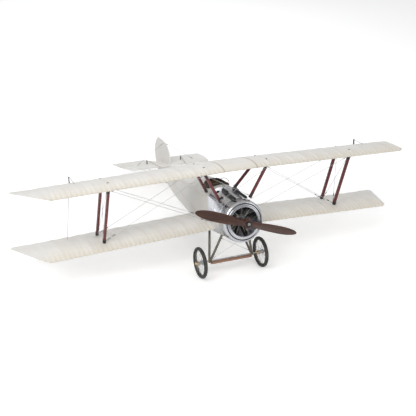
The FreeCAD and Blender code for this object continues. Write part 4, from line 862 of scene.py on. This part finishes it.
def spun_metal():
    """Bare metal turned about the shaft: fine rings, and painted shade darkening the groove in the front face.
    """
    paint = Paint("spun_cowling", roughness=0.2, metallic=1.0)
    squares = [paint.math("MULTIPLY", axis, axis) for axis in (paint.x, paint.z)]
    radius = paint.math("SQRT", paint.math("ADD", *squares))
    rings = paint.noise(900.0, 4.0, paint.node("ShaderNodeCombineXYZ", X=radius, Y=paint.y).outputs[0])
    clouds = paint.ramp(paint.noise(20.0, 4.0), (0.35, 0.0), (0.65, 1.0))
    colour = paint.mix(clouds, (0.58, 0.59, 0.62), (0.72, 0.73, 0.76))
    colour = paint.over(colour, (0.36, 0.37, 0.40), rings, (0.42, 0.0), (0.72, 0.45))
    # Painted shade: the groove in the front face is darkened nearly black, standing in for the shade in that
    # recess.
    beside = paint.math("ABSOLUTE", paint.math("SUBTRACT", radius, GROOVE_RADIUS))
    front = paint.ramp(paint.math("DIVIDE", paint.y, 6.0 * MM), (0.75, 1.0), (1.0, 0.0))
    groove = paint.ramp(paint.math("DIVIDE", beside, 2.6 * MM), (0.45, 0.9), (1.0, 0.0))
    colour = paint.mix(paint.mix(1.0, groove, front, "MULTIPLY"), colour, (0.07, 0.07, 0.08))
    rough = paint.ramp(paint.noise(34.0, 4.0), (0.3, 0.13), (0.7, 0.30))
    return paint.finish(colour, rough, paint.bump(rings, 0.03 * MM, 0.8))


piece("cowling_shell", Shape().lathe(COWLING_PROFILE, 128, NOSE, True), spun_metal(),
      stands_for=("cowling",), sharp=50)

nose_rivets = Shape()
for k in range(36):
    angle = 2 * math.pi * (k + 0.5) / 36
    out = Vector((math.cos(angle), 0, math.sin(angle)))
    rivet(nose_rivets, out * COWLING_RADIUS * MM + mm(0, 41, 0), out)
panel_tree = craft_tree("side_panels", "top_decking")
for y in (52.0, 166.0):
    for run in met_around(panel_tree, mm(0, y, NOSE_MIDDLE_Z), (54, 54)):
        for place, normal in run:
            rivet(nose_rivets, place, normal, 0.9)
for side in (-1, 1):
    for height in (42.0, 50.0, -44.0):
        for k in range(15):
            met = on_shell(panel_tree, (side * RAY_START, (58.0 + 7.4 * k) * MM, height * MM), (-side, 0, 0))
            if met:
                rivet(nose_rivets, *met, 0.8)
piece("nose_rivets", nose_rivets, ALUMINIUM)

straps = Shape()
for y, width in ((49.0, 4.4), (111.0, 3.2), (169.5, 4.0)):
    hoop_tapes(straps, panel_tree, mm(0, y, NOSE_MIDDLE_Z), (73, 72), width * MM, 0.35 * MM, math.pi)
piece("nose_straps", straps, SPUN_ALUMINIUM)

CAP_PROFILE = [(6.2, -0.6), (6.2, 1.2), (5.4, 2.0), (4.2, 2.1), (3.9, 3.4), (3.0, 4.0), (0.4, 4.1)]
LOUVRE_HALF_LENGTH = 14.0
caps = Shape()
louvres = Shape()
for x, y in ((-41.0, 92.0), (-33.0, 142.0), (41.0, 92.0)):
    met = on_shell(panel_tree, (x * MM, y * MM, RAY_START), (0, 0, -1))
    if met:
        caps.lathe(CAP_PROFILE, 28, spot(*met))
for side in (-1, 1):
    for k in range(5):
        met = on_shell(panel_tree, (side * RAY_START, (84.0 + 9.0 * k) * MM, 24.0 * MM), (-side, 0, 0))
        if met:
            place, normal = met
            louvres.tube([place, place + normal * 1.2 * MM], 1.0 * MM, 6)
            top = place + mm(0, 0, LOUVRE_HALF_LENGTH) - normal * 0.4 * MM
            low = place - mm(0, 0, LOUVRE_HALF_LENGTH) - normal * 0.4 * MM
            swell = normal * 1.5 * MM
            louvres.tube([low, between(low, top, 0.12) + swell, between(low, top, 0.88) + swell, top],
                         [0.6 * MM, 1.9 * MM, 1.9 * MM, 0.6 * MM], 10)
piece("filler_caps", caps, BLACK_METAL)
piece("side_louvres", louvres, ALUMINIUM)

# ---- engine -------------------------------------------------------------------------------------
CYLINDER_COUNT = 9
ENGINE_Y = 38.0
FIN_PITCH = 2.25
BARREL_RADIUS = 7.0
FIN_RADIUS = 9.0
PLUG_PROFILE = [(1.9, 0), (1.9, 1.6), (1.2, 1.8), (1.1, 5.0), (0.6, 5.6)]
CYLINDER_PROFILE = [(BARREL_RADIUS, 20.8)]
for fin in range(15):
    height = 27.4 + fin * FIN_PITCH
    reach = FIN_RADIUS if fin < 13 else 8.4
    CYLINDER_PROFILE += [(7.1, height), (reach, height + 0.15), (reach, height + 0.75), (7.1, height + 0.95)]
CYLINDER_PROFILE += [(BARREL_RADIUS, 61.4), (6.4, 63.2), (4.4, 64.0), (0.5, 64.0)]

cylinders = Shape()
plugs = Shape()
leads = Shape()
for k in range(CYLINDER_COUNT):
    around = Matrix.Rotation(2 * math.pi * k / CYLINDER_COUNT, 4, "Y")
    cylinders.lathe(CYLINDER_PROFILE[::-1], 36, around @ Matrix.Translation(mm(0, ENGINE_Y, 0)))
    for x in (-3.4, 3.4):
        plug = around @ spot(mm(x, 31.5, 56.5), (0.1 * x, -1.0, 0.25))
        plugs.lathe(PLUG_PROFILE, 6, plug)
        route = [mm(x * 1.3, 22.5, 46), mm(x * 0.8, 23.0, 30), mm(x * 0.5, 25.5, 17)]
        leads.tube([plug @ mm(0, 0, 5.5)] + [around @ place for place in route], 0.35 * MM, 6)
    plugs.lathe([(1.5, -1), (1.5, 1.2), (0.5, 1.5)], 6, around @ spot(mm(0, 25.4, 16.0), (0, -1, 0)))
piece("cylinder_barrels", cylinders, ENGINE_BLACK, stands_for=("engine_cylinders",), sharp=30)
piece("spark_plugs", plugs, STEEL)
piece("ignition_leads", leads, BRASS)
THRUST_CASE_PROFILE = [(4.6, 17.5), (9.2, 17.4), (10.6, 18.6), (11.4, 22.6), (16.0, 23.6), (18.8, 24.4),
                       (20.0, 26.0), (21.2, 26.8), (20.4, 26.2)]
piece("thrust_case", Shape().lathe(THRUST_CASE_PROFILE, 64, NOSE), CASE_METAL)

# ---- propeller ----------------------------------------------------------------------------------
SPIN = AIRCRAFT @ Matrix.Rotation(math.radians(19.4), 4, "Y")
BLADE_ROWS = 56
BLADE_POINTS = 28
BLADE_CHORD = 42.0
BLADE_RADIUS = 200.0
HUB_FACE_Y = -35.2
BOSS_PROFILE = [(4.2, -33.5), (13.6, -33.5), (15.8, -32.6), (17.0, -30.6), (17.2, -23.0), (17.0, -15.2),
                (15.8, -13.3), (13.6, -12.5), (4.2, -12.5)]


def blade_section(share):
    """A blade's width, thickness and pitch at a share of its radius."""
    width = BLADE_CHORD * (0.60 + 0.40 * math.sin(math.pi / 2 * min(share / 0.5, 1.0)))
    if share > 0.6:
        width *= math.sqrt(max(1 - ((share - 0.6) / 0.403) ** 2, 0.002))
    thick = 12.0 * (1 - share) + 2.6
    width = max(width, min(thick + 0.5, 6.0) if share > 0.95 else thick + 0.5)
    return width, min(thick, width * 0.8), math.radians(60.0 - 24.0 * math.sqrt(share))


def blade_ring(share):
    """The points of one section, flatter at its back."""
    width, thick, pitch = blade_section(share)
    ring = []
    for step in range(BLADE_POINTS):
        angle = 2 * math.pi * step / BLADE_POINTS
        along = width / 2 * math.cos(angle)
        flat = 0.72 if math.sin(angle) < 0 and share > 0.25 else 1.0
        up = thick / 2 * math.sin(angle) * flat * (1.0 + 0.22 * math.cos(angle) * min(share * 2, 1.0))
        ring.append(mm(BLADE_RADIUS * min(share, 0.9995),
                       PROPELLER_Y / MM - math.sin(pitch) * along + math.cos(pitch) * up,
                       math.cos(pitch) * along + math.sin(pitch) * up))
    return ring


airscrew = Shape()
rings = [blade_ring(0.05 + 0.95 * (row / BLADE_ROWS) ** 0.92) for row in range(BLADE_ROWS + 1)]
tip_start = BLADE_ROWS * BLADE_POINTS
blade_faces = [list(range(tip_start, tip_start + BLADE_POINTS)), list(range(BLADE_POINTS))[::-1]]
for row in range(BLADE_ROWS):
    for step in range(BLADE_POINTS):
        a, beside = row * BLADE_POINTS, (step + 1) % BLADE_POINTS
        blade_faces.append([a + step, a + beside, a + BLADE_POINTS + beside, a + BLADE_POINTS + step])
for half_turn in (0, math.pi):
    airscrew.add([place for ring in rings for place in ring], blade_faces, Matrix.Rotation(half_turn, 4, "Y"))
airscrew.lathe(BOSS_PROFILE, 64, NOSE, True)
piece("airscrew", airscrew, WALNUT, "propeller", stands_for=("propeller",), where=SPIN, sharp=35)

hub = Shape().lathe([(4.2, -33.6), (10.6, -33.6), (10.9, -34.2), (10.6, -35.1), (4.2, -35.3)], 56, NOSE, True)
for k in range(6):
    angle = math.radians(60 * k + 30)
    bolt = spot(mm(7.8 * math.cos(angle), HUB_FACE_Y, 7.8 * math.sin(angle)), (0, -1, 0))
    hub.lathe([(1.5, 0), (1.5, 1.1), (1.0, 1.5), (0.2, 1.5)], 6, bolt)
piece("hub_plate", hub, BLACK_METAL, "propeller", stands_for=("propeller_hub",),
      where=SPIN, sharp=35)
NUT_PROFILE = [(5.0, 0), (5.1, 2.2), (4.4, 3.0), (3.8, 5.6), (2.8, 7.6), (0.4, 8.2)]
boss_nut = Shape().lathe(NUT_PROFILE, 32, spot(mm(0, HUB_FACE_Y, 0), (0, -1, 0)))
piece("boss_nut", boss_nut, STEEL, "propeller", where=SPIN, sharp=35)

# ---- guns ---------------------------------------------------------------------------------------
GUN_START = mm(21.0, 12.0, 79.6)
GUN_END = mm(21.0, 160.0, 97.5)
JACKET_RADIUS = 4.9
BARREL_PROFILE = [(0.5, 4.0), (2.1, 4.0), (2.3, 8.0), (4.3, 9.0), (JACKET_RADIUS, 10.6), (JACKET_RADIUS, 13.0)]
for k in range(17):
    slot_start = 14.0 + k * 3.5
    BARREL_PROFILE += [(JACKET_RADIUS, slot_start), (4.35, slot_start + 0.35), (4.35, slot_start + 1.9),
                       (JACKET_RADIUS, slot_start + 2.25)]
BARREL_PROFILE += [(JACKET_RADIUS, 73.6), (5.6, 74.2), (5.6, 77.4), (4.4, 77.8)]
GUN_BLOCKS = (((-5.0, -7.4, 77.0), (5.0, 6.4, 113.8), 1.0),      # receiver
              ((-6.6, -5.2, 84.0), (6.6, 1.5, 98.0), 0.8),       # feed block
              ((-3.4, -8.9, 80.0), (3.4, -7.0, 110.0), 0.6),     # top cover
              ((-0.7, -10.2, 66.0), (0.7, -4.0, 67.6), 0.2))     # fore sight
gun = Shape().lathe(BARREL_PROFILE, 32)
for low, high, bevel in GUN_BLOCKS:
    gun.block(low, high, None, bevel)
gun.tube([mm(5.0, -2, 104), mm(8.4, -2, 104), mm(8.8, -5, 106)], 0.9 * MM, 8)
gun.tube([mm(0, -8.5, 107), mm(0, -13.0, 107)], 0.6 * MM, 8)
sight_ring = [mm(3.6 * math.cos(a * math.pi / 12), -16.4 + 3.6 * math.sin(a * math.pi / 12), 107)
              for a in range(24)]
gun.tube(sight_ring, 0.45 * MM, 8, True)
guns = Shape()
for side in (-1, 1):
    start = Vector((side * GUN_START.x, GUN_START.y, GUN_START.z))
    guns.add_shape(gun, spot(start, (GUN_END - GUN_START).normalized()))
piece("gun_barrels_and_breeches", guns, BLACK_METAL, stands_for=("machine_guns",), sharp=35)

# ---- cockpit: padded coaming, its stitches and the windscreen's frame ----------------------------
ROLL_COUNT = 72
coaming_points = craft_points("cockpit_coaming")
coaming_middle = sum(coaming_points, Vector()) / len(coaming_points)


def level_direction(place):
    """The way from the coaming's middle to a place, seen from above."""
    return Vector((place.x - coaming_middle.x, place.y - coaming_middle.y, 0)).normalized()


def coaming_line():
    """The centre line of the CAD coaming, smoothed."""
    line = []
    for k in range(ROLL_COUNT):
        angle = 2 * math.pi * k / ROLL_COUNT
        direction = Vector((math.cos(angle), math.sin(angle), 0))
        near = [p for p in coaming_points if level_direction(p).dot(direction) > math.cos(math.radians(7))]
        line.append(sum(near, Vector()) / len(near))
    for _ in range(4):
        line = [(line[k - 1] + line[k] * 2 + line[(k + 1) % ROLL_COUNT]) / 4 for k in range(ROLL_COUNT)]
    return line


roll_path = coaming_line()
roll_radii = []
for k, point in enumerate(roll_path):
    front = max((coaming_middle.y - point.y) / (33 * MM), 0.0)
    roll_radii.append((4.0 + 0.9 * front + (0.22 if k % 3 else -0.30)) * MM)
fine_path = []
fine_radii = []
for k in range(ROLL_COUNT):
    beside = (k + 1) % ROLL_COUNT
    for share in (0.0, 1 / 3, 2 / 3):
        fine_path.append(between(roll_path[k], roll_path[beside], share))
        fine_radii.append(between(roll_radii[k], roll_radii[beside], share))
roll = Shape().tube(fine_path, fine_radii, 20, True)
piece("coaming_roll", roll, LEATHER, stands_for=("cockpit_coaming",), sharp=60)
stitches = Shape()
for k in range(0, len(fine_path), 2):
    here, there = fine_path[k], fine_path[(k + 1) % len(fine_path)]
    lift = (level_direction(here) * 0.75 + Vector((0, 0, 0.66))).normalized() * (fine_radii[k] + 0.05 * MM)
    stitches.tube([here + lift, there + lift], 0.32 * MM, 6)
piece("coaming_stitches", stitches, SPRUCE)
front_point = min(roll_path, key=lambda p: p.y)
arch = [front_point + mm(22 * math.cos(math.pi * k / 20), -6 + 2 * math.sin(math.pi * k / 20),
                         2 + 20 * math.sin(math.pi * k / 20)) for k in range(21)]
piece("windscreen_frame", Shape().tube(arch, 0.9 * MM, 8), BLACK_METAL)

# ---- wheels -------------------------------------------------------------------------------------
WHEEL_PLACE = mm(121.0, 133.0, -162.0)
SPOKE_COUNT = 24
TYRE_PROFILE = [(51.5 + 6.5 * math.cos(a * math.pi / 20), 6.9 * math.sin(a * math.pi / 20)) for a in range(40)]
RIM_PROFILE = [(47.9, -4.6), (48.6, -4.2), (48.0, -3.4), (46.0, -2.8), (44.4, -1.4), (44.2, 0.0), (44.4, 1.4),
               (46.0, 2.8), (48.0, 3.4), (48.6, 4.2), (47.9, 4.6), (46.6, 3.8), (45.6, 2.0), (45.3, 0.0),
               (45.6, -2.0), (46.6, -3.8)]
HUB_CAP_PROFILE = [(5.6, -1.0), (5.6, 0.5), (4.8, 1.3), (3.4, 1.6)]
for side, name in ((1, "port"), (-1, "starboard")):
    centre = Vector((side * WHEEL_PLACE.x, WHEEL_PLACE.y, WHEEL_PLACE.z))
    wheel = spot(centre, (1, 0, 0))
    body = "wheel_" + name
    piece("tyre_" + name + "_tread", Shape().lathe(TYRE_PROFILE, 96, wheel, True), RUBBER, body,
          stands_for=("tyre_" + name,), sharp=60)
    piece("rim_" + name + "_rolled", Shape().lathe(RIM_PROFILE, 96, wheel, True), WHEEL_METAL, body,
          stands_for=("wheel_rim_" + name,), sharp=50)
    nipples = Shape()
    for k in range(SPOKE_COUNT):
        angle = 2 * math.pi * (k + 0.5) / SPOKE_COUNT
        lean = 2.0 if k % 2 else -2.0
        out = Vector((0.0, math.cos(angle), math.sin(angle)))
        ends = [centre + out * radius * MM + mm(lean * share, 0, 0)
                for radius, share in ((40.5, 0.9), (44.8, 0.4))]
        nipples.tube(ends, 0.95 * MM, 8)
    nipples.lathe(HUB_CAP_PROFILE, 32, spot(centre + mm(side * 11.0, 0, 0), (side, 0, 0)))
    piece("spoke_nipples_" + name, nipples, BRASS, body)

# ---- cord round the axle bindings ---------------------------------------------------------------
CORD_TURNS = 7
CORD_COIL_RADIUS = 6.7 * MM
LONGEST_BINDING = 20 * MM
cord = Shape()
for binding_points in runs_of("axle_bindings"):
    one, two = ends_of(binding_points)
    length = (two - one).length
    if length > LONGEST_BINDING:
        continue
    start = spot(one, (two - one).normalized())
    coil = []
    for k in range(14 * CORD_TURNS + 1):
        angle = 2 * math.pi * k / 14
        height = length * (0.06 + 0.88 * k / (14 * CORD_TURNS))
        out = Vector((math.cos(angle), math.sin(angle), 0)) * CORD_COIL_RADIUS
        coil.append(start @ (out + Vector((0, 0, height))))
    cord.tube(coil, 0.65 * MM, 8)
piece("binding_cord", cord, SPRUCE)

# ---- black sleeves on the strut ends ------------------------------------------------------------
SLEEVE_POINTS = 24
SLEEVE_ROWS = ((-0.15, 0.9), (-0.1, 1.0), (0.94, 1.0), (1.0, 0.9))
SLEEVE_FACES = [list(range(SLEEVE_POINTS))[::-1], list(range(3 * SLEEVE_POINTS, 4 * SLEEVE_POINTS))]
for row in range(3):
    for step in range(SLEEVE_POINTS):
        a, beside = row * SLEEVE_POINTS, (step + 1) % SLEEVE_POINTS
        SLEEVE_FACES.append([a + step, a + beside, a + SLEEVE_POINTS + beside, a + SLEEVE_POINTS + step])


def sleeve(shape, end, along, length, half_width, half_depth):
    """An oval sleeve from a strut's end along the strut."""
    along = along.normalized()
    sideways = along.cross(Vector((0, 1, 0))).normalized() * half_width * MM
    forward = sideways.normalized().cross(along) * half_depth * MM
    points = []
    for share, grow in SLEEVE_ROWS:
        for step in range(SLEEVE_POINTS):
            angle = 2 * math.pi * step / SLEEVE_POINTS
            oval = sideways * grow * math.cos(angle) + forward * grow * math.sin(angle)
            points.append(end + along * length * share * MM + oval)
    shape.add(points, SLEEVE_FACES)


sleeves = Shape()
for node, reach, half_width in (("cabane_struts", 15.0, 4.6), ("interplane_struts", 9.0, 5.8)):
    for strut_points in runs_of(node):
        low, high = sorted(ends_of(strut_points), key=lambda p: p.z)
        sleeve(sleeves, low, high - low, reach, half_width, 8.6)
        sleeve(sleeves, high, low - high, reach * 0.6, half_width, 8.6)
piece("strut_end_sleeves", sleeves, BLACK_METAL, sharp=35)

# ---- wires --------------------------------------------------------------------------------------
SHORTEST_WIRE = 30 * MM
for node in ("wing_bracing_wires", "undercarriage_wires", "tail_bracing_wires"):
    strands = Shape()
    for wire_points in runs_of(node):
        one, two = ends_of(wire_points)
        if (two - one).length > SHORTEST_WIRE:
            wire(strands, one, two, 0.72 * MM, 1.25 * MM)
    piece(node + "_drawn", strands, WIRE, stands_for=(node,), sharp=50)

# ---- control wires, from the airframe to the surfaces' horns ------------------------------------
CONTROL_WIRE_RADIUS = 0.9 * MM
ELEVATOR_HORN_REACH = 40.0 * MM
aileron_runs = [ends_of(points) for points in runs_of("aileron_control_wires")]
tail_runs = [sorted(ends_of(points), key=lambda p: p.y) for points in runs_of("tail_control_wires")]


def control_wires(name, runs, node):
    """Wires from the airframe to a surface's horns, straight lines of 24 segments that ride on no body."""
    wires = Shape()
    for a, b in runs:
        wires.tube([between(a, b, k / 24) for k in range(25)], CONTROL_WIRE_RADIUS, 8)
    made = piece(name, wires, WIRE, None, stands_for=(node,), sharp=50)
    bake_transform(made)


for side, name in ((1, "port"), (-1, "starboard")):
    runs = [sorted(run, key=lambda p: p.z) for run in aileron_runs if run[0].x * side > 0]
    control_wires("aileron_control_wire_" + name, runs, "aileron_control_wires")
control_wires("elevator_control_wires", [run for run in tail_runs if abs(run[1].x) > ELEVATOR_HORN_REACH],
              "tail_control_wires")
control_wires("rudder_control_wires", [run for run in tail_runs if abs(run[1].x) <= ELEVATOR_HORN_REACH],
              "tail_control_wires")

# ---- CAD nodes that are shown as they are -------------------------------------------------------
NODE_PAINTS = {
    SPRUCE: ["top_wing_spars", "top_wing_ribs", "lower_wing_spars", "lower_wing_ribs", "fuselage_frame",
             "pilot_seat"],
    WALNUT: ["instrument_panel", "tail_skid"],
    ALUMINIUM: ["firewall"],
    STEEL: ["wheel_hub_and_spokes_port", "wheel_hub_and_spokes_starboard", "propeller_shaft", "axle",
            "control_column", "engine_pipes"],
    WIRE: ["aileron_link_port", "aileron_link_starboard"],
    ENGINE_BLACK: ["engine_crankcase"],
    BLACK_METAL: ["strut_fittings", "wire_turnbuckles", "aileron_horn_port", "aileron_horn_starboard",
                  "elevator_horns", "rudder_horns", "axle_bindings"],
}
for material, names in NODE_PAINTS.items():
    for name in names:
        node = frame["nodes"][name]
        node.data.materials.clear()
        node.data.materials.append(material)

# ---- floor, light and camera --------------------------------------------------------------------
FLOOR_REACH = 30.0
floor_corners = [(x * FLOOR_REACH, y * FLOOR_REACH, 0.0) for x, y in ((-1, -1), (1, -1), (1, 1), (-1, 1))]
floor_mesh = bpy.data.meshes.new("floor")
floor_mesh.from_pydata(floor_corners, [], [[0, 1, 2, 3]])
floor = bpy.data.objects.new("floor", floor_mesh)
bpy.context.scene.collection.objects.link(floor)
floor_paint = Paint("pale_floor", roughness=0.9)
floor_paint.shader.inputs["Base Color"].default_value = (0.93, 0.93, 0.93, 1.0)
floor_paint.shader.inputs["Specular IOR Level"].default_value = 0.0
seen_floor = floor_paint.node("ShaderNodeLightPath").outputs["Is Camera Ray"]
floor_paint.shader.inputs["Emission Color"].default_value = (1.0, 1.0, 1.0, 1.0)
floor_paint.put(floor_paint.shader.inputs["Emission Strength"], floor_paint.math("MULTIPLY", seen_floor, 0.30))
floor_mesh.materials.append(floor_paint.material)

world = bpy.data.worlds.new("studio")
bpy.context.scene.world = world
world.use_nodes = True
sky = world.node_tree
sky.nodes.clear()
sky_output = sky.nodes.new("ShaderNodeOutputWorld")
sky_mix = sky.nodes.new("ShaderNodeMixShader")
sky_plain = sky.nodes.new("ShaderNodeBackground")
sky_plain.inputs["Color"].default_value = (1.0, 1.0, 1.0, 1.0)
sky_plain.inputs["Strength"].default_value = 1.0
sky_soft = sky.nodes.new("ShaderNodeBackground")
sky_soft.inputs["Strength"].default_value = 0.62
sky_ramp = sky.nodes.new("ShaderNodeValToRGB")
sky_place = sky.nodes.new("ShaderNodeTexCoord")
sky_split = sky.nodes.new("ShaderNodeSeparateXYZ")
sky.links.new(sky_place.outputs["Generated"], sky_split.inputs[0])
sky.links.new(sky_split.outputs["Z"], sky_ramp.inputs["Fac"])
horizon, zenith = sky_ramp.color_ramp.elements
horizon.position, horizon.color = 0.0, (0.30, 0.31, 0.34, 1.0)
zenith.position, zenith.color = 0.75, (1.0, 1.0, 1.0, 1.0)
sky.links.new(sky_ramp.outputs["Color"], sky_soft.inputs["Color"])
sky_path = sky.nodes.new("ShaderNodeLightPath")
sky.links.new(sky_path.outputs["Is Camera Ray"], sky_mix.inputs["Fac"])
sky.links.new(sky_soft.outputs[0], sky_mix.inputs[1])
sky.links.new(sky_plain.outputs[0], sky_mix.inputs[2])
sky.links.new(sky_mix.outputs[0], sky_output.inputs["Surface"])


def soft_lamp(name, place, aim, size, power):
    """A square area lamp at a place in the row frame, turned towards a point."""
    data = bpy.data.lights.new(name, "AREA")
    data.size = size
    data.energy = power
    lamp = bpy.data.objects.new(name, data)
    bpy.context.scene.collection.objects.link(lamp)
    turn = (Vector(aim) - Vector(place)).to_track_quat("-Z", "Y").to_matrix().to_4x4()
    lamp.matrix_world = Matrix.Translation(place) @ turn
    return lamp


MIDDLE = (0.0, 0.0, 0.25)
soft_lamp("key_lamp", (-1.9, -1.6, 2.3), MIDDLE, 1.6, 46.0)
soft_lamp("fill_lamp", (2.4, -1.9, 1.5), MIDDLE, 2.0, 16.0)
soft_lamp("rear_lamp", (0.6, 2.6, 2.2), MIDDLE, 1.8, 22.0)

CAMERA_PLACE = mm(-1119.7, -2427.8, 708.8)
CAMERA_HEADING = math.radians(-22.1277)
CAMERA_HEIGHT = math.radians(13.6963)
CAMERA_ROLL = math.radians(-3.4995)
CAMERA_LENS = 69.142
back = Vector((math.sin(CAMERA_HEADING) * math.cos(CAMERA_HEIGHT),
               -math.cos(CAMERA_HEADING) * math.cos(CAMERA_HEIGHT), math.sin(CAMERA_HEIGHT)))
level = Vector((math.cos(CAMERA_HEADING), math.sin(CAMERA_HEADING), 0.0))
right = level * math.cos(CAMERA_ROLL) + back.cross(level) * math.sin(CAMERA_ROLL)
upward = back.cross(right)
turned = Matrix((right, upward, back)).transposed().to_4x4()
camera_data = bpy.data.cameras.new("camera")
camera_data.sensor_width = 36.0
camera_data.lens = CAMERA_LENS
camera_data.clip_end = 100.0
camera = bpy.data.objects.new("camera", camera_data)
bpy.context.scene.collection.objects.link(camera)
camera.matrix_world = AIRCRAFT @ Matrix.Translation(CAMERA_PLACE) @ turned
bpy.context.scene.camera = camera
bpy.context.scene.view_settings.view_transform = "Standard"
